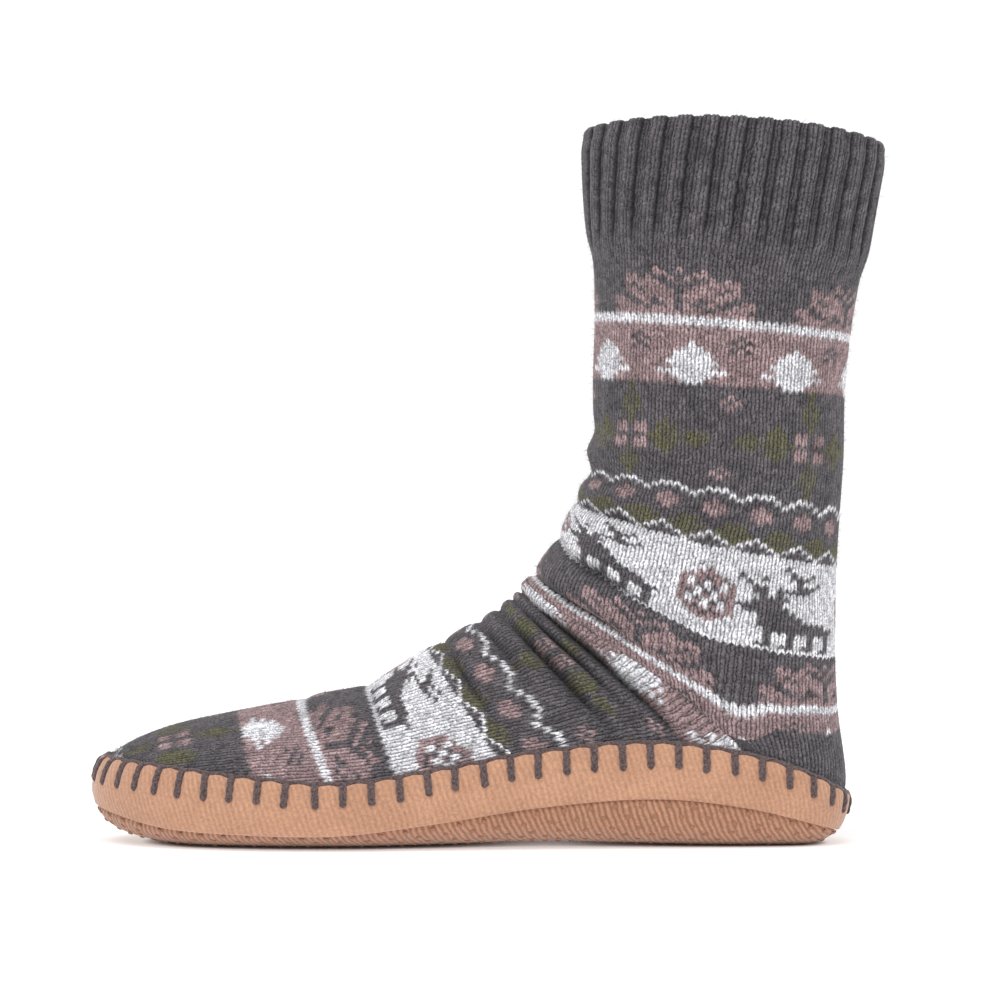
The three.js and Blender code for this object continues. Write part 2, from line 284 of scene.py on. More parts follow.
# %% Course lines
WALES = 96
ROUND = np.radians([0, 45, 70, 90, 112, 140, 180])
KNIT_LINES = np.array([
    # course, then the section that it reaches at each of those places round the leg
    [0, 0.0, 0.0, 0.0, 0.0, 0.0, 0.0, 0.0],
    [27, 2.03, 2.06, 2.08, 2.1, 2.11, 2.13, 2.16],
    [40, 3.0, 3.0, 3.0, 3.0, 3.0, 3.01, 3.02],
    [55, 4.06, 4.06, 4.06, 4.05, 4.05, 4.04, 4.03],
    [77, 5.8, 5.85, 5.87, 5.89, 5.92, 5.94, 5.95],
    [89.5, 6.35, 6.5, 6.63, 6.74, 6.79, 6.83, 6.83],
    [114, 7.2, 7.83, 8.29, 8.53, 8.36, 8.2, 8.08],
    [128, 8.8, 9.48, 9.74, 9.84, 9.39, 9.1, 8.88],
    [134, 9.3, 9.93, 10.12, 10.46, 9.7, 9.42, 9.16],
    [178, 9.3, 9.93, 10.12, 10.46, 11.5, 12.0, 12.2],
    [186, 10.45, 10.88, 11.17, 11.55, 12.0, 12.3, 12.45],
    [207, 12.83, 12.8, 12.78, 12.82, 12.9, 13.0, 13.1],
    [219, 13.85, 13.8, 13.72, 13.65, 13.7, 13.8, 13.9],
    [245, 15.0, 14.97, 14.96, 14.95, 14.96, 14.98, 15.0],
    [258, 15.93, 15.88, 15.84, 15.8, 15.82, 15.85, 15.88],
    [273, 17.0, 16.9, 16.87, 16.85, 16.86, 16.88, 16.9],
    [306, 20.6, 20.6, 20.6, 20.6, 20.6, 20.6, 20.6],
])
CUFF_COURSES, RIBS_GONE, LEG_COURSES, FOOT_COURSES, LAST_COURSE = 27, 29, 114, 219, 306
HEEL_START, HEEL_END = 134, 178
print("wales:", WALES, " courses:", LAST_COURSE, " of them in the heel alone:", HEEL_END - HEEL_START)


# %% Courses and wales on the last
def monotone_curve(knots, values, at):
    """A smooth curve through the values that never turns back between two of them"""
    gaps = np.diff(knots)
    slopes = np.diff(values) / gaps
    product = slopes[:-1] * slopes[1:]
    total = np.where(slopes[:-1] + slopes[1:] == 0, 1, slopes[:-1] + slopes[1:])
    inner = np.where(product > 0, 2 * product / total, 0)
    tangents = np.concatenate([slopes[:1], inner, slopes[-1:]])
    i = np.clip(np.searchsorted(knots, at, side="right") - 1, 0, len(gaps) - 1)
    u = (at - knots[i]) / gaps[i]
    return hermite(u, values[i], values[i + 1], tangents[i] * gaps[i], tangents[i + 1] * gaps[i])


def turn_from_front(angle):
    return np.abs((angle + np.pi) % (2 * np.pi) - np.pi)


def course_section(course, angle):
    """The section that a course reaches at an angle round the last"""
    course, angle = np.broadcast_arrays(np.asarray(course, float), np.asarray(angle, float))
    inside = np.clip(course, 0, LAST_COURSE)
    lines = [monotone_curve(KNIT_LINES[:, 0], column, inside) for column in KNIT_LINES.T[1:]]
    turn = turn_from_front(angle)
    s = lines[0]
    for here, after, low, high in zip(lines, lines[1:], ROUND, ROUND[1:]):
        share = np.clip((turn - low) / (high - low), 0, 1)
        s = s + (after - here) * (0.5 * share + 0.5 * smoothstep(share, 0, 1))
    return s


CUFF_LEAN = 1.5
RIB_START = 0.0867
RIB_WALES = 3


def wale_angles(course, columns):
    """For each course, the angles that share its girth evenly between its columns"""
    fine = np.linspace(0, 2 * np.pi, 361)
    points = last_point(course_section(course[:, None], fine[None, :]), fine[None, :])
    lean = CUFF_LEAN * (1 - np.clip(np.abs(course) / CUFF_COURSES, 0, 1))
    angles = np.empty((len(course), columns + 1))
    for row, line in enumerate(points):
        once = lengths_along(line)
        girth = np.concatenate([once, once[-1] + once[1:]])
        turns = np.concatenate([fine, 2 * np.pi + fine[1:]])
        start = (RIB_START * RIB_WALES + lean[row]) / WALES
        angles[row] = np.interp((np.arange(columns + 1) / columns + start) * once[-1], girth, turns)
    return angles


print("a wale on the leg in mm:", round(leg_girth / WALES, 2))

# %% [markdown]
# ## The pattern chart
# The bands are common winter motifs: half snowflakes, trees, stars, zigzags, scallops, pine cones and
# deer. A knitter works them from a chart in which each square is one stitch. Each motif is charted
# here as a few lines of letters and stamped round the chart at its own spacing. The same 87
# rows of bands come again down the leg and the foot, with the trees begun on another wale each time.

# %% Motifs
YARNS = {"c": 0, "w": 1, "b": 2, "o": 3}
SNOWFLAKE = """
......b..b..b......
......bb...bb......
..bb.b..b.b..b.bb..
..bbbbb..b..bbbbb..
..b.bbbb...bbbb.b..
..bb.bbbb.bbbb.bb..
...bbbbbb.bbbbbb...
bb..bb.bb.bb.bb..bb
bbb..b..b.b..b..bbb
.bbbb.bbb.bbb.bbbb.
bbbbbbbbbbbbbbbbbbb
"""
TREE = """
....w....
...www...
..wwwww..
..wwwww..
.wwwwwww.
..wwwww..
wwwwwwwww
..wwwww..
...www...
"""
FLOWER = """
bb.bb
bb.bb
.....
bb.bb
bb.bb
"""
BROWN_RING = """
.b.
b.b
.b.
"""
DARK_STAR = """
.c.
c.c
.c.
c.c
"""
DIAMOND = """
.b.
bbb
bbb
bbb
.b.
"""
CONE = """
...b...
..bbb..
.bbcbb.
bwbwbwb
bwcwcwb
bbwcwbb
bcwbwcb
bwcwcwb
bwbwbwb
bbcbcbb
.bbcbb.
..bbb..
"""
DEER = """
......c........
.......c..c....
.......ccc.....
c..c....c..c...
.c......ccc....
..cc.ccccc.....
..cc.c.........
...cccc........
..cccc.........
ccccccc........
.ccccccc.......
...cccccc......
...cccccccccc..
...cccccccccccc
....cccccccccc.
....c..c..c..c.
....c..c..c..c.
....c..c..c..c.
...cc.cc.cc.cc.
"""
MOTIFS = (SNOWFLAKE, TREE, FLOWER, BROWN_RING, DARK_STAR, DIAMOND, CONE, DEER)
print("rows of each motif:", [len(motif.split()) for motif in MOTIFS])

# %% Working motifs into a chart
REPEAT = 87
REPEATS = 3
chart = np.zeros((REPEATS * REPEAT, WALES), int)


def fill(top, bottom, yarn):
    chart[top:bottom] = YARNS[yarn]


def stamp(motif, top, middles):
    """Works a motif into the chart with its top on that row, round each middle wale"""
    lines = motif.split()
    for middle in middles:
        left = middle - len(lines[0]) // 2
        for row, line in enumerate(lines):
            for column, letter in enumerate(line):
                if letter in YARNS:
                    chart[top + row, (left + column) % WALES] = YARNS[letter]


def stamp_star(centre, middles):
    """Eight olive petals, as diamonds, round the middle of a flower"""
    # places across and down from the middle, half width, half height
    petals = ((5, 0, 2.6, 3.6), (8.5, 0, 1.6, 2.6), (0, 6, 1.9, 3.2), (0, 9.4, 1.2, 1.4))
    rows, wales = np.indices(chart.shape)
    for middle in middles:
        across = np.abs((wales - middle + WALES // 2) % WALES - WALES // 2)
        down = np.abs(rows - centre)
        for right, low, half_wide, half_high in petals:
            inside = np.abs(across - right) / half_wide + np.abs(down - low) / half_high <= 1
            chart[inside] = YARNS["o"]


print("rows and wales of the chart:", chart.shape)

# %% Chart of the whole sock
quarter = np.arange(0, WALES, WALES // 4)
sixths = np.arange(5, WALES, 6)
trees = 13 * np.arange(7)
ankle_trees = 4 + trees - 2 * (trees > WALES // 3)
STARTS = (
    # first row, middle wales of the trees, middle wale of the first cone
    (0, 6 + trees, 0),
    (REPEAT, ankle_trees, -2),
    (2 * REPEAT, 12 + trees, 0),
)
for top, tree_wales, cone in STARTS:
    fill(top + 13, top + 15, "w")
    fill(top + 15, top + 28, "b")
    fill(top + 65, top + 87, "w")
    stamp(SNOWFLAKE, top + 2, 17 + quarter)
    stamp(DARK_STAR, top + 17, tree_wales + 6)
    stamp(TREE, top + 19, tree_wales)
    stamp_star(top + 38, 11 + quarter)
    stamp(FLOWER, top + 36, 11 + quarter)
    stamp(BROWN_RING, top + 30, quarter)
    stamp(BROWN_RING, top + 44, quarter - 1)
    stamp(DIAMOND, top + 52, sixths)
    for wale in range(WALES):
        slope = abs((wale - 5 + 3) % 6 - 3)
        chart[top + 49 + max(slope - 1, 0), wale] = YARNS["w"]
        chart[top + (61, 60, 58, 58)[slope]:top + 61 + slope, wale] = YARNS["o"]
        chart[top + 61 + slope, wale] = YARNS["w"]
    stamp(CONE, top + 70, cone + quarter)
    stamp(DEER, top + 67, cone + 11 + quarter)
print("stitches of each yarn:", dict(zip(YARNS, np.bincount(chart.ravel()).tolist())))


def yarn_of(course, wale):
    """The yarn of a stitch: plain cuff and heel, and the chart everywhere else"""
    worked = np.where(course >= HEEL_END, course - (HEEL_END - HEEL_START), course)
    yarn = chart[worked - CUFF_COURSES, wale % WALES]
    plain = (course < CUFF_COURSES) | ((course >= HEEL_START) & (course < HEEL_END))
    return np.where(plain, YARNS["c"], yarn)


# %% [markdown]
# ## Folds of the loose knit
# The knit is longer than the ankle it covers, so it lies in rolls over the instep with tight creases
# between them. A roll swells as a round arc from one crease to the next, and follows the courses to the
# sides. The creases are placed here one by one, on the course that each follows, with a depth, a breadth
# and a reach round the leg. Straight in front they are shallow, because there the rolls touch.

# %% Rolls and creases
FOLD_FULL_SHARE = 0.4
ROLLS = np.array([
    # sections in front where it starts and ends, height, reach in degrees
    [5.96, 6.42, 1.0, 80],
    [6.42, 7.17, 1.8, 92],
    [7.17, 8.64, 2.3, 112],
    [8.64, 10.45, 2.4, 115],
    [10.45, 11.25, 1.5, 88],
    [11.25, 12.05, 1.6, 90],
    [12.05, 12.68, 1.5, 88],
    [12.68, 13.72, 1.7, 80],
    [13.72, 14.95, 1.5, 76],
    [14.95, 15.89, 1.5, 78],
])
ROUNDNESS = 0.6
CREASES = np.array([
    # course, depth, half breadth in courses, reach in degrees
    [80, 1.0, 2.0, 75],
    [91.5, 1.8, 1.8, 85],
    [113.5, 3.6, 1.5, 85],
    [126.5, 2.6, 1.7, 80],
    [186, 5.2, 1.6, 102],
    [192.5, 3.4, 1.3, 82],
    [199.5, 4.2, 1.4, 96],
    [205.5, 3.2, 1.3, 58],
    [217, 2.4, 1.3, 82],
    [244, 2.0, 1.6, 60],
    [257.5, 2.2, 1.5, 50],
])
CREASE_POWER = 1.4
IN_FRONT = 0.15  # share of a crease's depth that is left straight in front
DEEPENS = (12, 50)  # degrees from the front over which the full depth comes in


def fade(turn, reach):
    return 1 - smoothstep(np.degrees(turn), FOLD_FULL_SHARE * reach, reach)


def fold_lift(course, angle):
    """How far the rolls move the surface out and the creases move it in, in millimetres"""
    turn = turn_from_front(angle)
    in_front = course_section(course, 0)
    out, sunk = np.zeros((2, *np.broadcast(course, angle).shape))
    for first, last, height, reach in ROLLS:
        across = (2 * in_front - first - last) / (last - first)
        out += height * np.clip(1 - across**2, 0, 1) ** ROUNDNESS * fade(turn, reach)
    for centre, depth, breadth, reach in CREASES:
        sunk += depth * np.exp(-np.abs((course - centre) / breadth) ** CREASE_POWER) * fade(turn, reach)
    return out, sunk * (IN_FRONT + (1 - IN_FRONT) * smoothstep(np.degrees(turn), *DEEPENS))


print("rolls:", len(ROLLS), " creases:", len(CREASES))

# %% Soft swells
SLACK = np.array([
    # soft dents and swells of the leg: course, degrees round, half height, half breadth, lean, depth
    [65, 0, 2.5, 40, 0.00, -0.8],
    [70, 0, 3, 40, 0.00, 1.3],
    [77, 0, 3, 40, 0.00, -1.3],
    [52, 62, 9, 26, 0.10, -0.8],
    [66, 40, 6, 30, -0.14, 0.7],
    [70, 105, 8, 24, 0.16, -0.7],
    [46, 130, 10, 30, -0.08, 0.6],
    [95, 118, 6, 30, 0.12, -0.8],
    [104, 140, 5, 26, 0.10, 0.6],
    [58, 215, 9, 34, 0.12, -0.8],
    [76, 270, 7, 34, -0.10, -0.8],
    [90, 300, 7, 30, 0.10, 0.7],
    [260, 40, 8, 30, 0.08, -0.7],
    [272, 80, 7, 26, 0.00, 0.6],
    [256, 320, 8, 30, -0.08, -0.7],
])


def slack_lift(course, angle):
    """Slow swells of the cloth, leaning along the courses"""
    degrees = np.degrees(angle) % 360
    lift = np.zeros(np.broadcast(course, angle).shape)
    for centre, round_at, half_height, half_breadth, lean, depth in SLACK:
        across = (degrees - round_at + 180) % 360 - 180
        along = course - centre - lean * across
        lift += depth * np.exp(-((along / half_height) ** 2) - (across / half_breadth) ** 2)
    return lift


print("soft swells:", len(SLACK))

# %% [markdown]
# ## Knitting the sheets
# A stitch shows as a small arch of yarn, its two legs close together, round towards the cuff. Modelling
# each leg as a tube would take millions of faces. Instead each sheet is one grid with six columns and
# two rows to a stitch. Every course is bent into a row of arches, so that the edges of the faces are
# the edges of the arches, and the faces of an arch all take its yarn. The grid is then wrapped round
# the last and lifted where the legs are round. A second number on each vertex is painted shade, and the
# material darkens the yarn by it where the yarn lies deep: most of all at the small hole between the legs.

# %% Stitch shape
STITCH_COLUMNS = 6
STITCH_ROWS = 2
COLUMNS = WALES * STITCH_COLUMNS
RISE = np.array([
    [0.2, 0.8, 0.95, 0.2, 0.95, 0.8],
    [0.15, 0.85, 1.0, 0.7, 1.0, 0.85],
])
# painted shade at each vertex of a stitch, 1 for none: darkest at the hole between the legs
GAP_SHADING = np.array([
    [0.2, 0.9, 1.0, 0.0, 1.0, 0.9],
    [0.15, 1.0, 1.0, 0.4, 1.0, 1.0],
])
POINT_LIFT = 0.95
ARCH_POWER, ARCH_MIDDLE = 2.0, 0.35
YARN_RELIEF, RELIEF_MIDDLE = 0.7, 0.45
UNEVEN_COURSE, UNEVEN_WALE = 0.08, 0.05
chance = np.random.default_rng(7)
unevenness = chance.standard_normal((3, LAST_COURSE + 1, WALES)).clip(-2, 2)


def stitch_fields(rows):
    """Relief and painted shade of the stitches at each vertex of a grid, and the lift of their points"""
    column = np.arange(COLUMNS + 1) % STITCH_COLUMNS
    row = np.arange(rows + 1) % STITCH_ROWS
    relief, painted_shading = RISE[row][:, column], GAP_SHADING[row][:, column]
    arch = np.abs(2 * column / STITCH_COLUMNS - 1) ** ARCH_POWER
    return relief, painted_shading, POINT_LIFT * (arch - ARCH_MIDDLE)[None, :]


def stitch_chance(which, course):
    """A random number for the stitch that each vertex belongs to"""
    row = np.clip(np.abs(np.floor(course)).astype(int), 0, LAST_COURSE)
    wale = np.arange(COLUMNS + 1) // STITCH_COLUMNS % WALES
    return unevenness[which][row][:, wale]


def stitch_angles(course):
    """Angles of the columns of each course, slightly uneven from stitch to stitch"""
    return wale_angles(course, COLUMNS) + UNEVEN_WALE * 2 * np.pi / WALES * stitch_chance(0, course)


print("faces to a stitch:", STITCH_COLUMNS * STITCH_ROWS, " columns round:", COLUMNS)

# %% Sheets and pieces
MERGE_DISTANCE = 0.004 * MM


def new_shape():
    """An empty shape with a UV map, OFBake"""
    shape = bmesh.new()
    shape.loops.layers.uv.new("OFBake")
    return shape


def grid_place(corner, rows, columns):
    """Row, counted from the top, and column of a corner of a new grid"""
    return round((0.5 - corner.y) * rows), round((0.5 + corner.x) * columns)


def wrapped_sheet(name, points, keep=None):
    """A grid moved to rows and columns of points, its side edges joined, as a mesh in metres"""
    rows, columns = points.shape[0] - 1, points.shape[1] - 1
    points[:, -1] = points[:, 0]
    sheet = new_shape()
    corner = sheet.verts.layers.int.new("corner")
    cell = sheet.faces.layers.int.new("cell")
    bmesh.ops.create_grid(sheet, x_segments=columns, y_segments=rows, size=0.5, calc_uvs=True)
    for face in sheet.faces:
        middle = face.calc_center_median()
        face[cell] = int((0.5 - middle.y) * rows) * columns + int((0.5 + middle.x) * columns)
        face.smooth = True
    for vertex in sheet.verts:
        row, column = grid_place(vertex.co, rows, columns)
        vertex[corner] = row * (columns + 1) + column
        vertex.co = points[row, column] * MM
    if keep is not None:
        hidden = [face for face in sheet.faces if not any(keep.flat[v[corner]] for v in face.verts)]
        bmesh.ops.delete(sheet, geom=hidden, context="FACES")
    bmesh.ops.remove_doubles(sheet, verts=sheet.verts, dist=MERGE_DISTANCE)
    return mesh_from(sheet, name)


def new_piece(name, mesh, material, slot, *nodes):
    """An object for a finished mesh, riding on the sock, that stands for those solids"""
    mesh.materials.append(material)
    piece = bpy.data.objects.new(name, mesh)
    bpy.context.scene.collection.objects.link(piece)
    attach(piece, "root")
    if nodes:
        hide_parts(*nodes)
    triangles = sum(len(polygon.vertices) - 2 for polygon in mesh.polygons)
    print(name, "triangles:", triangles)
    return piece


# %% Numbers on a mesh
def set_values(mesh, name, kind, domain, values):
    """Stores an array of numbers or colours on a mesh"""
    layer = mesh.attributes.new(name, kind, domain)
    layer.data.foreach_set("color" if kind == "FLOAT_COLOR" else "value", values.ravel().astype(np.float32))


def read_values(mesh, name, count):
    values = np.zeros(count, np.int32)
    mesh.attributes[name].data.foreach_get("value", values)
    return values


# %% Yarn colours
YARN_COLOURS = np.array([
    [0.098, 0.089, 0.098],  # charcoal
    [0.65, 0.645, 0.68],  # white
    [0.29, 0.203, 0.208],  # dusty brown
    [0.112, 0.106, 0.056],  # olive
])
TINT_SPREAD = 0.17
MARL = 0.45


def dye(mesh, first_course, painted_shading):
    """Gives each face the yarn of its stitch, and each vertex a blend of its yarns and its painted shade"""
    cells = read_values(mesh, "cell", len(mesh.polygons))
    course = first_course + cells // COLUMNS // STITCH_ROWS
    wale = cells % COLUMNS // STITCH_COLUMNS
    course = np.where(course < 0, -1 - course, course)
    colours = np.ones((len(cells), 4))
    luck = unevenness[2][course, wale]
    yarn = yarn_of(course, wale)
    dyed = YARN_COLOURS[yarn] * (1 + TINT_SPREAD * luck)[:, None]
    marl = np.where(yarn == YARNS["o"], MARL * np.abs(luck).clip(0, 1), 0)[:, None]
    colours[:, :3] = dyed * (1 - marl) + YARN_COLOURS[YARNS["c"]] * marl
    set_values(mesh, "yarn", "FLOAT_COLOR", "FACE", colours)
    sides, vertex = np.zeros(len(cells), np.int32), np.zeros(len(mesh.loops), np.int32)
    mesh.polygons.foreach_get("loop_total", sides)
    mesh.loops.foreach_get("vertex_index", vertex)
    shared = np.repeat(colours, sides, axis=0)
    halo = np.stack([np.bincount(vertex, channel) for channel in shared.T], axis=1)
    set_values(mesh, "halo", "FLOAT_COLOR", "POINT", halo / np.bincount(vertex)[:, None])
    corners = read_values(mesh, "corner", len(mesh.vertices))
    set_values(mesh, "painted_shading", "FLOAT", "POINT", painted_shading.ravel()[corners])
    for name in ("cell", "corner"):
        mesh.attributes.remove(mesh.attributes[name])


# %% Helpers for finishes
def mix_colours(tree, blend, factor, first, second):
    """Blends two colours; each of the last three is a value or an output socket"""
    node = add_node(tree, "ShaderNodeMix", {"data_type": "RGBA", "blend_type": blend})
    feed(tree, (node.inputs[0], *node.inputs[6:8]), (factor, first, second))
    return node.outputs[2]


def ramp(tree, factor, stops):
    """A smooth scale of greys: each stop is (place, level)"""
    node = tree.nodes.new("ShaderNodeValToRGB")
    while len(node.color_ramp.elements) < len(stops):
        node.color_ramp.elements.new(0.5)
    for element, (place, level) in zip(node.color_ramp.elements, stops):
        element.position = place
        element.color = (level, level, level, 1)
    tree.links.new(factor, node.inputs["Fac"])
    return node.outputs["Color"]


def add_bump(tree, shader, height, strength, distance, under=None):
    """A bump of that height socket, over another bump if one is given"""
    node = add_node(tree, "ShaderNodeBump", Strength=strength, Distance=distance)
    tree.links.new(height, node.inputs["Height"])
    if under is not None:
        tree.links.new(under, node.inputs["Normal"])
    tree.links.new(node.outputs["Normal"], shader.inputs["Normal"])
    return node.outputs["Normal"]


def noise(tree, scale, detail, roughness=0.5):
    """The level of a noise that is fixed to the piece"""
    place = tree.nodes.new("ShaderNodeTexCoord")
    node = add_node(tree, "ShaderNodeTexNoise", Scale=scale, Detail=detail, Roughness=roughness)
    tree.links.new(place.outputs["Object"], node.inputs["Vector"])
    return node.outputs["Fac"]


def stored(tree, name, output):
    """A number or a colour that is stored on the mesh"""
    return add_node(tree, "ShaderNodeAttribute", {"attribute_name": name}).outputs[output]


def set_colour(tree, shader, colour, *shades):
    """Gives the shader a colour, darkened or lightened by each of the shades"""
    for shade in shades:
        colour = mix_colours(tree, "MULTIPLY", 1.0, colour, shade)
    tree.links.new(colour, shader.inputs["Base Color"])


# %% Yarn finish
knit_finish, tree, shader = new_material("knit_yarn", 0.95, sheen=0.18)
fibres = noise(tree, 1500, 3, 0.6)
stray = ramp(tree, fibres, [(0.38, 0.15), (0.62, 1.0)])
colour = mix_colours(tree, "MIX", stray, stored(tree, "yarn", "Color"), stored(tree, "halo", "Color"))
# painted shade where the yarn lies deep: at the holes between its legs, in the creases and in the cuff's
# furrows
open_shade = ramp(tree, stored(tree, "painted_shading", "Fac"), [(0.0, 0.1), (0.45, 0.6), (1.0, 1.1)])
fibre_shade = ramp(tree, fibres, [(0.32, 0.4), (0.68, 1.7)])
blotch_shade = ramp(tree, noise(tree, 60, 2), [(0.3, 0.93), (0.7, 1.06)])
set_colour(tree, shader, colour, open_shade, fibre_shade, blotch_shade)
add_bump(tree, shader, fibres, 0.5, 0.25 * MM)
print("yarns:", list(YARNS), " finish:", knit_finish.name)

# %% Edges of the suede
EDGES = np.array([
    # x along the foot, height of the suede's rim, height of its seam with the sole
    [-141, 29.6, 15.0],
    [-114, 27.6, 8.7],
    [-85, 24.9, 7.0],
    [-52, 22.8, 6.9],
    [-18, 27.4, 10.4],
    [18, 33.6, 15.2],
    [58, 36.6, 17.7],
    [90, 32.7, 14.6],
    [112, 25.2, 9.2],
    [129, 15.2, 3.4],
])
EDGE_X, RIM, SEAM = EDGES.T


def edge_height(column, x):
    """Height of the rim or the seam at a place along the foot"""
    ends = np.arange(len(EDGE_X))
    before, after = np.clip(ends - 1, 0, ends[-1]), np.clip(ends + 1, 0, ends[-1])
    slopes = (column[after] - column[before]) / (EDGE_X[after] - EDGE_X[before])
    inside = np.clip(x, EDGE_X[0], EDGE_X[-1])
    i = np.clip(np.searchsorted(EDGE_X, inside) - 1, 0, ends[-1] - 1)
    span = EDGE_X[i + 1] - EDGE_X[i]
    u = (inside - EDGE_X[i]) / span
    return hermite(u, column[i], column[i + 1], slopes[i] * span, slopes[i + 1] * span)


def above_rim(points):
    """How far points lie above the suede's rim"""
    return points[..., 2] - edge_height(RIM, points[..., 0])


print("height of the rim in mm, lowest and highest:", RIM.min(), RIM.max())

# %% Leg, ankle and foot
TUCK = 6.0
LOOSE = (-1.5, 4.0)
RELIEF_BEHIND = 0.4  # share of the yarn's relief that is left behind the suede
CROWDED = (0.1, 0.5)  # half the length of a course over which the relief comes in
CREASE_SHADE, SHADED_DEPTH = 0.85, 2.6


def knit_surface(course, angle, relief):
    """Points of the knit, the painted shade of its creases, and whether each shows above or just behind the
    suede's rim
    """
    s = course_section(course, angle)
    base = last_point(s, angle)
    out = last_directions(s, angle)[1]
    clear = above_rim(base)
    loose = smoothstep(clear, *LOOSE)
    rolls, sunk = fold_lift(course, angle)
    lift = rolls - sunk + slack_lift(course, angle)
    gap = np.linalg.norm(last_point(course_section(course + 0.5, angle), angle) - base, axis=-1)
    relief_left = RELIEF_BEHIND + (1 - RELIEF_BEHIND) * loose
    yarn_stand = YARN_RELIEF * (relief - RELIEF_MIDDLE) * relief_left * smoothstep(gap, *CROWDED)
    stand = yarn_stand + lift * loose
    shade = 1 - CREASE_SHADE * np.clip(sunk / SHADED_DEPTH, 0, 1)
    return base + out * stand[..., None], shade, clear > -TUCK


def knit_sheet(name, first_course, last_course):
    """One stretch of the patterned knit"""
    rows = (last_course - first_course) * STITCH_ROWS
    relief, painted_shading, lift = stitch_fields(rows)
    course = first_course + np.arange(rows + 1) / STITCH_ROWS
    angle = stitch_angles(course)
    bent = course[:, None] + lift + UNEVEN_COURSE * stitch_chance(1, course)
    points, shade, keep = knit_surface(bent, angle, relief)
    mesh = wrapped_sheet(name, points, keep)
    dye(mesh, first_course, painted_shading * shade)
    return new_piece(name, mesh, knit_finish, "knit", "knit_upper")


knit_sheet("knit_leg", RIBS_GONE, LEG_COURSES)
knit_sheet("knit_ankle", LEG_COURSES, FOOT_COURSES)
knit_sheet("knit_foot", FOOT_COURSES, LAST_COURSE)

# %% [markdown]
# ## Ribbed cuff
# The cuff is ribbed: two raised wales, then one sunk wale, thirty-two times round, which lets it
# stretch. It is knitted double and turned at the top, so the same sheet goes up the outside, over a
# round rim and down the inside.

# %% Ribs of the cuff
RIB_STAND, RIB_DEPTH = 0.5, 1.5
RIBS_FADE, RIBS_END = 1.35, 1.65
FLAT_RISE = 0.6  # rise of the knit where the ribs have gone flat
RIB_SHAPE = np.array([
    # share of the way across a rib, rise
    [0.06, 0],
    [0.22, 1],
    [0.62, 1],
    [0.78, 0],
])


def rib_stand(column, s):
    """How far the ribs stand off the last"""
    share = (column / STITCH_COLUMNS / RIB_WALES + RIB_START) % 1
    rise = np.interp(share, *RIB_SHAPE.T)
    flat = smoothstep(s, RIBS_FADE, CUFF_END - 0.1)
    ending = smoothstep(s, RIBS_END, CUFF_END)
    return (RIB_STAND + RIB_DEPTH * (rise + (FLAT_RISE - rise) * flat)) * (1 - ending)


print("ribs of the cuff:", WALES // RIB_WALES)

# %% Cuff
KNIT_WALL = 3.0
RIM_COURSES = 1.5
RIM_DRAWN_IN, DRAWN_COURSES = 1.0, 6
ARCHED_FROM = 4  # courses below the rim at which the stitches are fully arched
INNER_RIBS = 0.5  # share of the ribs' height on the inside
SUNK_RELIEF = 0.6
SHADE_FADES = (CUFF_COURSES - 8, CUFF_COURSES - 1)
RIB_SHADE = np.array([
    # share of the way across three wales, painted shade of the furrows (1 for none)
    [0, 0.05],
    [0.03, 0.3],
    [0.1, 1],
    [0.57, 1],
    [0.64, 0.1],
    [0.72, 0.1],
    [0.79, 0.75],
    [0.92, 0.75],
    [0.97, 0.3],
    [1, 0.05],
])

cuff_rows = 2 * RIBS_GONE * STITCH_ROWS
relief, painted_shading, lift = stitch_fields(cuff_rows)
course = -RIBS_GONE + np.arange(cuff_rows + 1) / STITCH_ROWS
column = np.arange(COLUMNS + 1)[None, :]
angle = stitch_angles(course)
sunk = ((column // STITCH_COLUMNS) % RIB_WALES == RIB_WALES - 1) & (course[:, None] < CUFF_COURSES - 2)
lift = np.where(sunk, 0, lift) + UNEVEN_COURSE * stitch_chance(1, course)
lift *= smoothstep(np.abs(course), RIM_COURSES, ARCHED_FROM)[:, None]
over = np.clip(course[:, None] / RIM_COURSES, -1, 1) * np.pi / 2
bent = np.abs(course[:, None] + np.sign(course[:, None]) * lift)
s = course_section(np.maximum(bent, RIM_COURSES), angle)
drawn = 1 - smoothstep(np.abs(course)[:, None], RIM_COURSES, DRAWN_COURSES)
outer = rib_stand(column, s) - RIM_DRAWN_IN * drawn
inner = -KNIT_WALL + INNER_RIBS * outer
base = last_point(s, angle)
down, out = last_directions(s, angle)
middle, radius = (outer + inner) / 2, (outer - inner) / 2
stand = middle + radius * np.sin(over)
yarn_stand = YARN_RELIEF * (relief - RELIEF_MIDDLE) * np.where(sunk, SUNK_RELIEF, 1)
points = base + out * (stand + yarn_stand * np.sin(over))[..., None]
points -= down * (radius * np.cos(over) + yarn_stand * np.cos(over))[..., None]
cuff_mesh = wrapped_sheet("knit_cuff", points)
# painted shade in the furrows between the ribs, which fades out towards the leg
furrow_shade = np.interp(column / STITCH_COLUMNS / RIB_WALES % 1, *RIB_SHADE.T)
fading = smoothstep(np.abs(course)[:, None], *SHADE_FADES)
furrow_shade = furrow_shade + (1 - furrow_shade) * fading
dye(cuff_mesh, -RIBS_GONE, painted_shading * furrow_shade)
new_piece("knit_cuff", cuff_mesh, knit_finish, "knit", "knit_upper")

# %% [markdown]
# ## Loose fibres
# Soft yarn sheds a haze of loose fibres, which shows best against the light along the outline. A fibre
# is a thin three-sided spike. One spike is made and the set is doubled again and again, much quicker
# than adding them one by one, with a number on each. It is then moved to a place on the knit picked by
# chance, leaning away from it, and takes the colour of the yarn there.

# %% Roots of the fibres
FIBRE_DOUBLINGS = 14
FIBRE_LEAN = (0.4, 1.3)  # share of the outward direction in a fibre's own


def read_vectors(layer, field, count, size=3):
    values = np.zeros(count * size, np.float32)
    layer.foreach_get(field, values)
    return values.reshape(count, size).astype(float)


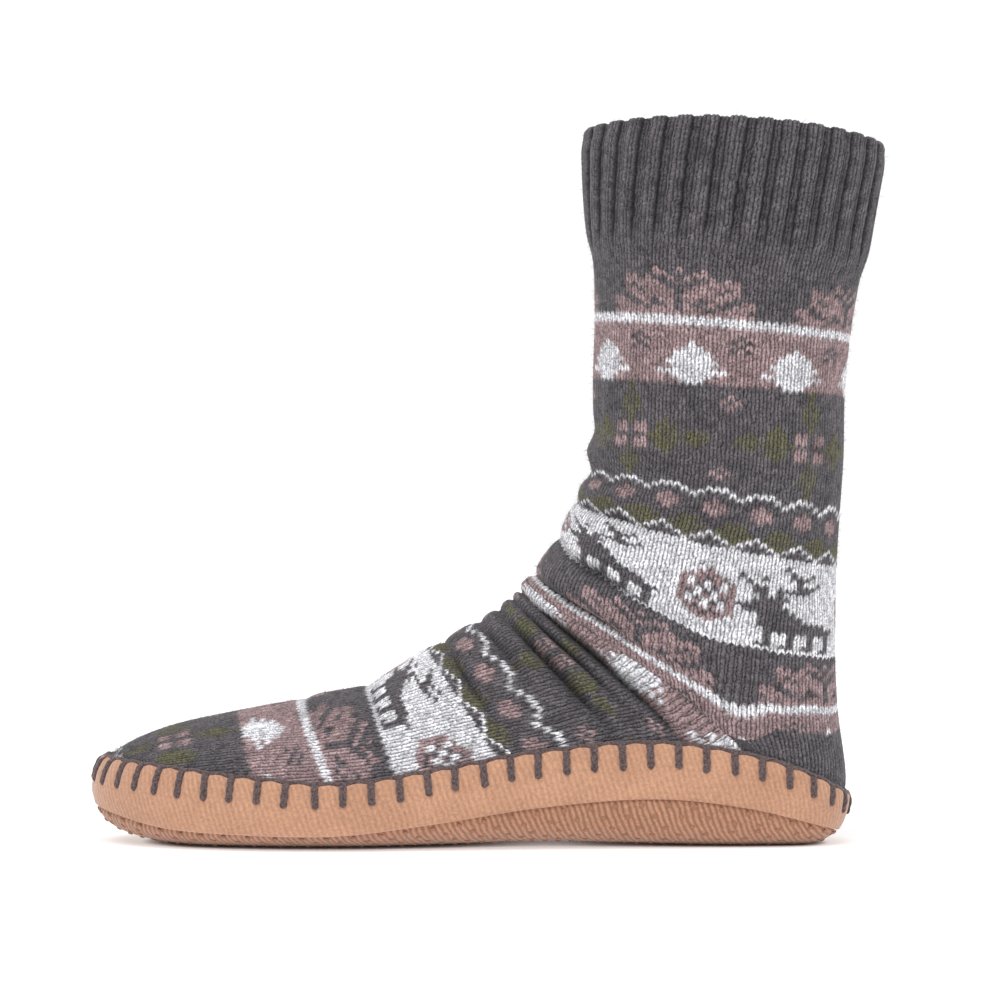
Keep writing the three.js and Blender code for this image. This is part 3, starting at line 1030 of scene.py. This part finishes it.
roots, normals, tints = [], [], []
for name in ("knit_cuff", "knit_leg", "knit_ankle", "knit_foot"):
    mesh = bpy.data.objects[name].data
    count = len(mesh.vertices)
    root = read_vectors(mesh.vertices, "co", count) / MM
    shows = above_rim(root) > 1
    roots.append(root[shows])
    normals.append(read_vectors(mesh.vertex_normals, "vector", count)[shows])
    tints.append(read_vectors(mesh.attributes["halo"].data, "color", count, 4)[shows])
fibre_count = 2 ** FIBRE_DOUBLINGS
fibre_chance = np.random.default_rng(11)
places = sum(map(len, roots))
picked = fibre_chance.choice(places, fibre_count, replace=False)
root, normal, tint = (np.concatenate(values)[picked] for values in (roots, normals, tints))
ahead = fibre_chance.uniform(*FIBRE_LEAN, (fibre_count, 1)) * normal
ahead = unit(ahead + unit(fibre_chance.normal(size=(fibre_count, 3))))
ahead = np.where((ahead * normal).sum(1, keepdims=True) < 0, -ahead, ahead)
aside = unit(np.cross(ahead, normal))
across = np.cross(ahead, aside)
print("fibres:", fibre_count, " of places:", places)

# %% Loose fibres
FIBRE_RADIUS = 0.055
FIBRE_LENGTHS = (1.0, 3.6)
FIBRE_OUT = 0.4  # the spike's middle stands so far out that a tenth of it is sunk
spikes = new_shape()
spikes.verts.layers.int.new("fibre")
bmesh.ops.create_cone(spikes, cap_ends=True, segments=3, radius1=1, radius2=0, depth=1, calc_uvs=True)
for doubling in range(FIBRE_DOUBLINGS):
    copies = bpy.data.meshes.new("copies")
    spikes.to_mesh(copies)
    number = read_values(copies, "fibre", len(copies.vertices)) + 2 ** doubling
    copies.attributes["fibre"].data.foreach_set("value", number)
    spikes.from_mesh(copies)
    bpy.data.meshes.remove(copies)
fibre_mesh = mesh_from(spikes, "loose_fibres")
own = read_values(fibre_mesh, "fibre", len(fibre_mesh.vertices))
local = read_vectors(fibre_mesh.vertices, "co", len(own))
reach = fibre_chance.uniform(*FIBRE_LENGTHS, (fibre_count, 1))[own] * (local[:, 2:] + FIBRE_OUT)
points = root[own] + ahead[own] * reach
points += FIBRE_RADIUS * (aside[own] * local[:, :1] + across[own] * local[:, 1:2])
fibre_mesh.vertices.foreach_set("co", (points * MM).ravel().astype(np.float32))
for name in ("yarn", "halo"):
    set_values(fibre_mesh, name, "FLOAT_COLOR", "POINT", tint[own])
set_values(fibre_mesh, "painted_shading", "FLOAT", "POINT", np.ones(len(own)))
fibre_mesh.attributes.remove(fibre_mesh.attributes["fibre"])
fibre_mesh.update()
new_piece("loose_fibres", fibre_mesh, knit_finish, "knit")

# %% [markdown]
# ## Rays to the last
# The suede goes right round the foot, which the sections of the last can't follow, because they all
# shrink to a point at the toe. So the band and the sole are laid out another way: from a straight
# spine inside the foot, rays go out to the last, square to the spine along its length and in a fan at
# its two ends. A search tree finds where a ray meets the last, and the place inside the face it meets
# gives back the section and angle, so that the surface stays smooth.

# %% Casting rays
CAST_FIRST = 8.0
CAST_ROWS, CAST_COLUMNS = 300, 360
cast_s = np.linspace(CAST_FIRST, TIP - 0.02, CAST_ROWS + 1)
cast_angle = np.linspace(0, 2 * np.pi, CAST_COLUMNS + 1)
cast_grid = last_point(cast_s[:, None], cast_angle[None, :])
first_corner = np.arange(CAST_ROWS)[:, None] * (CAST_COLUMNS + 1) + np.arange(CAST_COLUMNS)[None, :]
cast_cells = first_corner.reshape(-1, 1) + np.array([0, CAST_COLUMNS + 1, CAST_COLUMNS + 2, 1])
last_tree = BVHTree.FromPolygons(cast_grid.reshape(-1, 3).tolist(), cast_cells.tolist())


def cast(origins, directions):
    """Section and angle at which each ray leaves the last"""
    starts, ways = np.broadcast_arrays(origins, directions)
    found = np.zeros(starts.shape[:-1] + (2,))
    for place in np.ndindex(starts.shape[:-1]):
        hit, _, face, _ = last_tree.ray_cast(Vector(starts[place]), Vector(ways[place]))
        row, column = divmod(face, CAST_COLUMNS)
        corner = cast_grid[row, column]
        sides = np.stack([cast_grid[row + 1, column] - corner, cast_grid[row, column + 1] - corner])
        share = np.linalg.solve(sides @ sides.T, sides @ (np.array(hit) - corner))
        found[place] = row + share[0], column + share[1]
    s = CAST_FIRST + found[..., 0] * (cast_s[1] - cast_s[0])
    return s, found[..., 1] * (cast_angle[1] - cast_angle[0])


print("faces in the search tree:", len(cast_cells))

# %% Rays from the spine
SPINE = (-95.0, 90.0)
SPINE_SWING = 2.4
FIRST_HEIGHT = 15.0


def spine_ray(turn):
    """Foot of a ray and its flat direction; turn 0..1 outer side, ..2 toe, ..3 inner side, ..4 heel"""
    turn = np.asarray(turn, float) % 4
    leg = np.floor(turn).astype(int)
    share = turn - leg
    x = np.choose(leg, [SPINE[1] + (SPINE[0] - SPINE[1]) * share, SPINE[0] + 0 * share,
                        SPINE[0] + (SPINE[1] - SPINE[0]) * share, SPINE[1] + 0 * share])
    y = SPINE_SWING * np.clip(-x / SPINE[1], 0, 1)
    swing = np.choose(leg, [0 * share, share, 1 + 0 * share, 1 + share]) * np.pi
    flat = np.stack([-np.sin(swing), -np.cos(swing), 0 * swing], axis=-1)
    return np.stack([x, y, 0 * x], axis=-1), flat


def wall_point(turn, height, stand):
    """A point at a height on the wall of the last, standing off it"""
    turn, height = np.broadcast_arrays(turn, height)
    foot, flat = spine_ray(turn)
    foot[..., 2] = height
    s, angle = cast(foot, flat)
    return last_point(s, angle) + last_directions(s, angle)[1] * np.asarray(stand)[..., None]


def edge_on_wall(column, turn):
    """Height of the rim or the seam where a ray meets it"""
    height = np.full(np.shape(turn), FIRST_HEIGHT)
    for _ in range(4):
        height = edge_height(column, wall_point(turn, height, 0 * height)[..., 0])
    return height


print("length of the spine in mm:", SPINE[1] - SPINE[0])

# %% [markdown]
# ## Suede band
# The band is a strip of soft suede with cut edges. Its rim swells a little between the stitches and is
# drawn in by each of them, and its lower edge is turned over the sole. The strip is one grid whose
# columns are spaced evenly round the foot, eight to a stitch, and whose rows follow a short profile:
# the lower lip, the wall, the round rim and a little of the inside. The suede has faint upright ribs.
# They are too fine for the grid, so the finish draws them from the place on the strip, as a bump,
# with painted shade in their grooves and painted light on their ridges.

# %% Suede finish
CLOTH_RIB = 2.1
RIB_WAVER = 0.9
BAND_LENGTH = 636
RIB_SLANT = 9.6  # how far a rib leans over the breadth of the strip


def calculate(tree, operation, *values):
    """A sum on numbers; each is a value or an output socket"""
    node = add_node(tree, "ShaderNodeMath", {"operation": operation})
    feed(tree, node.inputs, values)
    return node.outputs["Value"]


def cloth_ribs(tree, phase):
    """Ribs of a cloth, 0 in a groove and 1 on a ridge; the phase is whole on each groove"""
    moved = calculate(tree, "MULTIPLY_ADD", noise(tree, 130, 2), RIB_WAVER, phase)
    wave = calculate(tree, "COSINE", calculate(tree, "MULTIPLY", moved, 2 * math.pi))
    return calculate(tree, "MULTIPLY_ADD", wave, -0.5, 0.5)


def napped_cloth(tree, shader, ribs, clouds, colours, rib_shade_stops, nap_stops, rib_bump):
    """Colour and bump of a napped cloth with ribs, its two colours mixed in soft clouds, with painted shade
    in the ribs' grooves and painted light on their ridges
    """
    nap = noise(tree, 1000, 3, 0.65)
    colour = mix_colours(tree, "MIX", noise(tree, clouds, 3), *colours)
    # the ribs' ramp paints shade into the grooves and light onto the ridges, beside their bump
    set_colour(tree, shader, colour, ramp(tree, ribs, rib_shade_stops), ramp(tree, nap, nap_stops))
    rough = add_bump(tree, shader, nap, 0.35, 0.2 * MM)
    add_bump(tree, shader, ribs, *rib_bump, rough)


suede_finish, tree, shader = new_material("suede", 0.9, sheen=0.35)
strip = add_node(tree, "ShaderNodeUVMap", {"uv_map": "OFBake"})
count = add_node(tree, "ShaderNodeVectorMath", {"operation": "DOT_PRODUCT"})
count.inputs[1].default_value = (BAND_LENGTH / CLOTH_RIB, RIB_SLANT / CLOTH_RIB, 0)
tree.links.new(strip.outputs["UV"], count.inputs[0])
napped_cloth(
    tree, shader, cloth_ribs(tree, count.outputs["Value"]), clouds=70,
    colours=((0.60, 0.33, 0.212, 1), (0.45, 0.238, 0.146, 1)),
    rib_shade_stops=[(0.0, 0.9), (1.0, 1.07)],
    nap_stops=[(0.3, 0.78), (0.7, 1.14)],
    rib_bump=(0.35, 0.25 * MM),
)
print("finish:", suede_finish.name)

# %% Lengths round the band
STITCH_PITCH = 9.75
STITCH_START = 0.5
BAND_STAND = 2.3
SHORT_BAR, BAR_SHARE = 3.7, 0.28
BAR_LEAN = np.array([
    # x along the foot, share of the rim's slope that a bar leans with
    [-110, 1.4],
    [-60, 0.6],
    [60, 0.2],
    [110, -0.2],
])

fine_turn = np.linspace(0, 4, 801)
fine_seam, fine_rim = (edge_on_wall(column, fine_turn) for column in (SEAM, RIM))
fine_wall = wall_point(fine_turn, (fine_seam + fine_rim) / 2, np.full(len(fine_turn), BAND_STAND))
fine_length = lengths_along(fine_wall)
girth = fine_length[-1]
stitches = round(girth / STITCH_PITCH)
pitch = girth / stitches
fine_slope = np.gradient(fine_rim, fine_length)
fine_lean = fine_slope * np.interp(fine_wall[:, 0], *BAR_LEAN.T)
stitch_length = SHORT_BAR + BAR_SHARE * (fine_rim - fine_seam)


def along(values, length):
    """A value at a length round the band"""
    return np.interp(length % girth, fine_length, values)


def stitch_phase(length, height):
    """Place between two stitches, which lean a little with the rim; whole at a stitch"""
    below = along(fine_rim, length) - height
    return (length - below * along(fine_lean, length)) / pitch - STITCH_START


print("round the band in mm:", round(girth), " stitches:", stitches, " pitch:", round(pitch, 2))

# %% Suede band
BAND_COLUMNS = 8
BAND_INSIDE = 0.5
OUTER_ROWS = 24
RIM_SWELL, RIM_DROP = 0.45, 0.3
PUFF, PINCH_DEPTH, PINCH_BREADTH = 0.3, 0.55, 1.7
PUFF_FROM, PUFF_FULL = -1.5, 2  # heights above the lower end of a bar
PROFILE = np.array([
    # share of the way from the seam to the rim, distance from the last
    [0.01, 0.5],
    [0.0, 1.2],
    [0.0, 1.8],
    [0.012, 2.2],
    [0.04, 2.4],
    *[[share, BAND_STAND] for share in np.linspace(0.1, 0.9, 15)],
    [0.94, 2.25],
    [0.975, 2.05],
    [0.995, 1.7],
    [1.0, 1.2],
    [0.995, 0.75],
    [0.96, BAND_INSIDE],
    [0.8, BAND_INSIDE],
    [0.6, BAND_INSIDE],
])
length = np.arange(stitches * BAND_COLUMNS + 1) / (stitches * BAND_COLUMNS) * girth
turn = np.interp(length, fine_length, fine_turn)
seam, rim = along(fine_seam, length), along(fine_rim, length)
share, stand = PROFILE[:, :1], PROFILE[:, 1:]
height = seam + (rim - seam) * share
phase = stitch_phase(length, height)
between = np.sin(np.pi * phase) ** 2
low_end = rim - along(stitch_length, length)
near_rim = smoothstep(height, low_end + PUFF_FROM, low_end + PUFF_FULL)
pinch = np.exp(-((((phase + 0.5) % 1 - 0.5) * pitch / PINCH_BREADTH) ** 2)) * near_rim
height = height + near_rim * share * (RIM_SWELL * between - RIM_DROP)
outer_side = np.where(np.arange(len(PROFILE)) < OUTER_ROWS, 1, 0)[:, None]
stand = stand + outer_side * (PUFF * between * near_rim - PINCH_DEPTH * pinch)
points = wall_point(turn, height, stand)
new_piece("suede_band", wrapped_sheet("suede_band", points), suede_finish, "suede", "suede_band")

# %% [markdown]
# ## Blanket stitch
# A thick two-ply yarn is sewn over the rim: one long bar at each stitch, square to the edge, and a run
# of yarn along the edge from bar to bar. Each bar is a small tube whose two plies show as a twist. The
# tubes are grids rolled round a path, all in one mesh, which keeps sixty-five bars one object.

# %% Twisted yarn
PLY_LENGTH = 6.5
PLY_CORE, PLY_RISE = 0.8, 0.28


def tube_points(path, outward, radius, around, flat=1.0):
    """Rings of points round a path, with a two-ply twist; outward says which way is off the surface"""
    ahead = unit(np.gradient(path, axis=0))
    side = unit(np.cross(ahead, outward))
    lift = np.cross(side, ahead)
    run = lengths_along(path)
    spin = np.linspace(0, 2 * np.pi, around + 1)[None, :]
    plies = PLY_CORE + PLY_RISE * np.abs(np.cos(spin - 2 * np.pi * run[:, None] / PLY_LENGTH))
    ring = (np.asarray(radius)[:, None] * plies)[..., None]
    return path[:, None] + ring * (np.cos(spin)[..., None] * side[:, None]
                                   + flat * np.sin(spin)[..., None] * lift[:, None])


def roll_tube(sheet, points):
    """Adds a grid to a mesh in the making and rolls it into a tube; points is rings by columns"""
    rings, columns = points.shape[0] - 1, points.shape[1] - 1
    made = bmesh.ops.create_grid(sheet, x_segments=columns, y_segments=rings, size=0.5, calc_uvs=True)
    for vertex in made["verts"]:
        ring, column = grid_place(vertex.co, rings, columns)
        vertex.co = points[ring, column % columns] * MM


def finish_tubes(name, sheet):
    """Joins the seams of the tubes and makes a mesh of them"""
    bmesh.ops.remove_doubles(sheet, verts=sheet.verts, dist=MERGE_DISTANCE)
    for face in sheet.faces:
        face.smooth = True
    return mesh_from(sheet, name)


stitch_finish, tree, shader = new_material("stitch_yarn", 0.95, sheen=0.25)
fibres = noise(tree, 1400, 3, 0.6)
set_colour(tree, shader, (0.098, 0.068, 0.068, 1), ramp(tree, fibres, [(0.32, 0.35), (0.68, 1.8)]))
add_bump(tree, shader, fibres, 0.5, 0.25 * MM)
print("finish:", stitch_finish.name)

# %% Stitch bars
BAR_RADIUS = 1.3
BAR_OVER = 1.3  # how far a bar starts above the rim
ROUND_END = 0.13  # share of a bar that each of its round ends takes
UNEVEN_BAR, UNEVEN_LEAN = (-0.7, 0.5), (-0.07, 0.07)
sheet = new_shape()
steps = np.linspace(0, 1, 23)
from_end = np.minimum((steps + 0.001) / ROUND_END, (1.001 - steps) / ROUND_END)
end = np.sin(np.pi * np.clip(from_end, 0, 1) / 2)
bar_chance = np.random.default_rng(3)
for stitch in range(stitches):
    at = (stitch + STITCH_START) * pitch
    slope = float(along(fine_slope, at))
    bar = along(stitch_length, at)
    reach = -BAR_OVER + (bar + BAR_OVER + bar_chance.uniform(*UNEVEN_BAR)) * steps
    square = np.hypot(1, slope)
    lean = along(fine_lean, at) + bar_chance.uniform(*UNEVEN_LEAN)
    length = at + reach * lean / square
    height = along(fine_rim, at) - reach / square
    turn = np.interp(length % girth, fine_length, fine_turn)
    stand = np.interp(reach, [-BAR_OVER, 0.2, 1.4, 3.0, bar - 1, bar], [0.2, 1.4, 2.2, 2.3, 2.2, 1.5])
    path_points = wall_point(turn, height, stand)
    off = unit(path_points - wall_point(turn, height, stand - 1))
    roll_tube(sheet, tube_points(path_points, off, BAR_RADIUS * end, 10, 0.75))
new_piece("stitch_bars", finish_tubes("stitch_bars", sheet), stitch_finish, "knit")

# %% Edge yarn
EDGE_RADIUS = 0.9
EDGE_RINGS = 10  # rings of the tube to a stitch
EDGE_HEIGHT, EDGE_ARCH = 0.1, 0.3
EDGE_STAND, EDGE_SWELL = 1.15, 0.25
sheet = new_shape()
length = np.arange(stitches * EDGE_RINGS + 1) / (stitches * EDGE_RINGS) * girth
turn = np.interp(length, fine_length, fine_turn)
between = np.sin(np.pi * stitch_phase(length, along(fine_rim, length))) ** 2
height = along(fine_rim, length) + EDGE_HEIGHT + EDGE_ARCH * between
path_points = wall_point(turn, height, EDGE_STAND + EDGE_SWELL * between)
off = unit(path_points - wall_point(turn, height, np.zeros(len(turn))))
ring_points = tube_points(path_points, off, np.full(len(turn), EDGE_RADIUS), 8)
ring_points[-1] = ring_points[0]
roll_tube(sheet, ring_points)
new_piece("stitch_edge", finish_tubes("stitch_edge", sheet), stitch_finish, "knit")

# %% [markdown]
# ## Grip sole
# The sole is a moulded pan of ribbed cloth that comes up the sides to meet the suede. Its ribs run
# slanting across the flat cloth, and small rubber dots stand on it in rows. The pan is one grid: its
# columns fan out from the spine under the foot. Each vertex keeps the number of ribs counted to its
# place on the flat cloth, from which the finish draws the ribs as a bump, with painted shade in the
# grooves and painted light on the ridges.

# %% Fan of rays under the foot
FAN_RAYS = 31


def turns_round(side, toe, heel):
    """Turns round the foot, evenly spaced on each side, round the toe and round the heel"""
    counts = enumerate((side, toe, side, heel))
    legs = [np.linspace(leg, leg + 1, count, endpoint=False) for leg, count in counts]
    return np.concatenate([*legs, [4.0]])


def sole_fan(turn, top, stand, rows):
    """Rows of points from under the spine out to the top edge, evenly spaced, and their lengths"""
    foot, flat = spine_ray(turn)
    tilt = np.linspace(np.pi / 2, 0, FAN_RAYS)[:, None]
    start = foot[None] + np.zeros((FAN_RAYS, 1, 1))
    start[..., 2] = top
    way = flat[None] * np.cos(tilt)[..., None]
    way[..., 2] = -np.sin(tilt)
    s, angle = cast(start, way)
    fan = last_point(s, angle) + last_directions(s, angle)[1] * stand
    fan[0, :, :2] = foot[:, :2]
    reach = lengths_along(fan)
    even = np.linspace(0, 1, rows + 1)
    points = np.empty((rows + 1, len(turn), 3))
    for column in range(len(turn)):
        at = even * reach[-1, column]
        for axis in range(3):
            points[:, column, axis] = np.interp(at, reach[:, column], fan[:, column, axis])
    return points, even[:, None] * reach[-1]


def soften(points):
    """Evens out the corners left between neighbouring rays"""
    for _ in range(3):
        points[1:-1] = (points[:-2] + 2 * points[1:-1] + points[2:]) / 4
    return points


print("rays to a column:", FAN_RAYS)

# %% Sole grid
SOLE_STAND = 2.1
SOLE_ROWS = 44
RIB_LEAN = 0.31
CLOTH_FLOOR = 0.3
EDGE_TUCK, EDGE_ROUND = 1.0, (0.3, 1.6)

sole_turn = turns_round(side=240, toe=170, heel=150)
seam_length = np.interp(sole_turn, fine_turn, fine_length)
sole_seam = along(fine_seam, seam_length)
sole_points, sole_reach = sole_fan(sole_turn, sole_seam, SOLE_STAND, SOLE_ROWS)
sole_points = soften(sole_points)
sole_points[..., 2] = np.maximum(sole_points[..., 2], CLOTH_FLOOR)
foot, flat = spine_ray(sole_turn)
cloth = foot[None, :, :2] + flat[None, :, :2] * sole_reach[..., None]
rows_out = np.gradient(sole_points, axis=0)
columns_round = np.roll(sole_points[:, :-1], -1, axis=1) - np.roll(sole_points[:, :-1], 1, axis=1)
columns_round = np.concatenate([columns_round, columns_round[:, :1]], axis=1)
out = np.cross(rows_out, columns_round)
out[0] = (0, 0, -1)
out = unit(out)
edge = smoothstep(sole_reach[-1] - sole_reach, *EDGE_ROUND)
points = sole_points - out * (EDGE_TUCK * (1 - edge))[..., None]
points[0, :, :2] = foot[:, :2]
points[0, :, 2] = CLOTH_FLOOR
sole_mesh = wrapped_sheet("grip_sole", points)
corners = read_values(sole_mesh, "corner", len(sole_mesh.vertices))
ribs_at = (cloth[..., 0] - RIB_LEAN * cloth[..., 1]) / CLOTH_RIB
set_values(sole_mesh, "rib", "FLOAT", "POINT", ribs_at.ravel()[corners])
print("ribs along the sole:", round(float(np.ptp(ribs_at))))

# %% Sole finish
sole_finish, tree, shader = new_material("grip_cloth", 0.85, sheen=0.25)
napped_cloth(
    tree, shader, cloth_ribs(tree, stored(tree, "rib", "Fac")), clouds=60,
    colours=((0.51, 0.265, 0.165, 1), (0.40, 0.198, 0.12, 1)),
    rib_shade_stops=[(0.0, 0.62), (0.5, 0.92), (1.0, 1.16)],
    nap_stops=[(0.3, 0.75), (0.7, 1.15)],
    rib_bump=(0.6, 0.4 * MM),
)
new_piece("grip_sole", sole_mesh, sole_finish, "grip", "grip_sole")

# %% Places of the dots
DOT_PITCH, DOT_ROW = 9.2, 4.3
FIRST_ROW = 1.9
FIELD_EDGE = FIRST_ROW + 1.6 * DOT_ROW
FIELD_X, FIELD_Y = 150, 60

inset = sole_reach[-1][None, :] - sole_reach
spots = []
dots_round = round(girth / DOT_PITCH)
for row, depth_in in enumerate((FIRST_ROW, FIRST_ROW + DOT_ROW)):
    for at in np.arange(0.5 * (row % 2), dots_round) * girth / dots_round:
        column = np.argmin(np.abs(seam_length - at))
        spots.append((np.argmin(np.abs(inset[:, column] - depth_in)), column))
for row, y in enumerate(np.arange(-FIELD_Y, FIELD_Y, DOT_ROW)):
    for x in np.arange(-FIELD_X, FIELD_X, DOT_PITCH) + DOT_PITCH / 2 * (row % 2):
        gap = (cloth[..., 0] - x) ** 2 + (cloth[..., 1] - y) ** 2
        spot = np.unravel_index(np.argmin(gap), gap.shape)
        if gap[spot] < 1 and inset[spot] > FIELD_EDGE:
            spots.append(spot)
print("dots:", len(spots), " of them in the two rows along the edge:", 2 * dots_round)

# %% Grip dots
DOT_RADIUS, DOT_HEIGHT = 1.0, 0.5
dome = new_shape()
bmesh.ops.create_uvsphere(dome, u_segments=10, v_segments=6, radius=MM, calc_uvs=True)
bmesh.ops.scale(dome, vec=(DOT_RADIUS, DOT_RADIUS, DOT_HEIGHT), verts=dome.verts)
for face in dome.faces:
    face.smooth = True
dome_mesh = mesh_from(dome, "dome")
dots = bmesh.new()
for spot in spots:
    turned = Vector(out[spot]).to_track_quat("Z", "Y").to_matrix().to_4x4()
    one = dome_mesh.copy()
    one.transform(Matrix.Translation(Vector(sole_points[spot]) * MM) @ turned)
    dots.from_mesh(one)
    bpy.data.meshes.remove(one)
bpy.data.meshes.remove(dome_mesh)
for vertex in dots.verts:
    vertex.co.z = max(vertex.co.z, 0.0)
dot_finish, _, shader = new_material("grip_dots", 0.25)
shader.inputs["Base Color"].default_value = (0.33, 0.16, 0.096, 1)
new_piece("grip_dots", mesh_from(dots, "grip_dots"), dot_finish, "grip")

# %% [markdown]
# ## Insole and inside
# A fleece pad lies on the sole inside the sock. It shows only from above, through the collar, so it is
# one soft closed shape: its underside follows the last and its top is nearly flat. The inside of the
# leg and foot is one plain sheet that stands for the floats of yarn behind the pattern. Both have a
# plain fuzzy finish, two greys mixed by a noise.

# %% Insole pad
PAD_TOP = 3.5
PAD_ROWS = 14
PAD_GAP = 0.15
HEEL_CORNER = 11  # the first section that lies on the sole
TOE_LIFT = 4.0  # the pad's top follows the sole up to this height


def pad_height(x):
    """Height of the pad's top at a place along the foot"""
    section = np.interp(x, BACK_X[:HEEL_CORNER - 1:-1], np.arange(TIP, HEEL_CORNER - 1, -1))
    return np.minimum(section_value(BACK_Z, section), TOE_LIFT) + PAD_TOP


def fuzzy_finish(name, sheen, fuzz, colours, strength, distance):
    """A finish of two colours mixed by a noise, which bumps it as well"""
    finish, tree, shader = new_material(name, 0.95, sheen)
    level = noise(tree, *fuzz)
    set_colour(tree, shader, mix_colours(tree, "MIX", level, *colours))
    add_bump(tree, shader, level, strength, distance)
    return finish


pad_turn = turns_round(side=60, toe=40, heel=40)
edge_top = np.full(len(pad_turn), 6.0)
for _ in range(4):
    edge_top = pad_height(wall_point(pad_turn, edge_top, np.zeros(len(pad_turn)))[:, 0])
under = soften(sole_fan(pad_turn, edge_top, -PAD_GAP, PAD_ROWS)[0])
over = under[::-1].copy()
rise = np.sin(np.linspace(0, np.pi / 2, PAD_ROWS + 1))[:, None]
over[..., 2] = over[:1, :, 2] + (pad_height(over[..., 0]) - over[:1, :, 2]) * rise
points = np.concatenate([under, over[1:]])
FLEECE = ((0.16, 0.15, 0.15, 1), (0.30, 0.28, 0.28, 1))
pad_finish = fuzzy_finish("pad_fleece", 0.3, (500, 4, 0.7), FLEECE, 0.6, 0.6 * MM)
pad_piece = new_piece("insole_pad", wrapped_sheet("insole_pad", points), pad_finish, "pad", "insole_pad")

# %% Inside of the leg and foot
INSIDE_STAND = -3.2
INSIDE_START = 24
INSIDE_TUCK, TUCK_COURSES = 1.6, 3.5  # its top edge goes out behind the cuff's inner wall
course = np.linspace(LAST_COURSE, INSIDE_START, 200)[:, None]
angle = np.linspace(0, 2 * np.pi, 121)[None, :]
s = course_section(course, angle)
base = last_point(s, angle)
loose = smoothstep(above_rim(base), *LOOSE)
lift = (slack_lift(course, angle) - fold_lift(course, angle)[1]) * loose
tucked = INSIDE_TUCK * (1 - smoothstep(course, INSIDE_START, INSIDE_START + TUCK_COURSES))
points = base + last_directions(s, angle)[1] * (INSIDE_STAND + tucked + lift)[..., None]
FLOATS = ((0.10, 0.09, 0.09, 1), (0.24, 0.22, 0.22, 1))
inside_finish = fuzzy_finish("knit_inside", 0.2, (350, 3), FLOATS, 0.5, 0.8 * MM)
new_piece("knit_inside", wrapped_sheet("knit_inside", points), inside_finish, "knit")
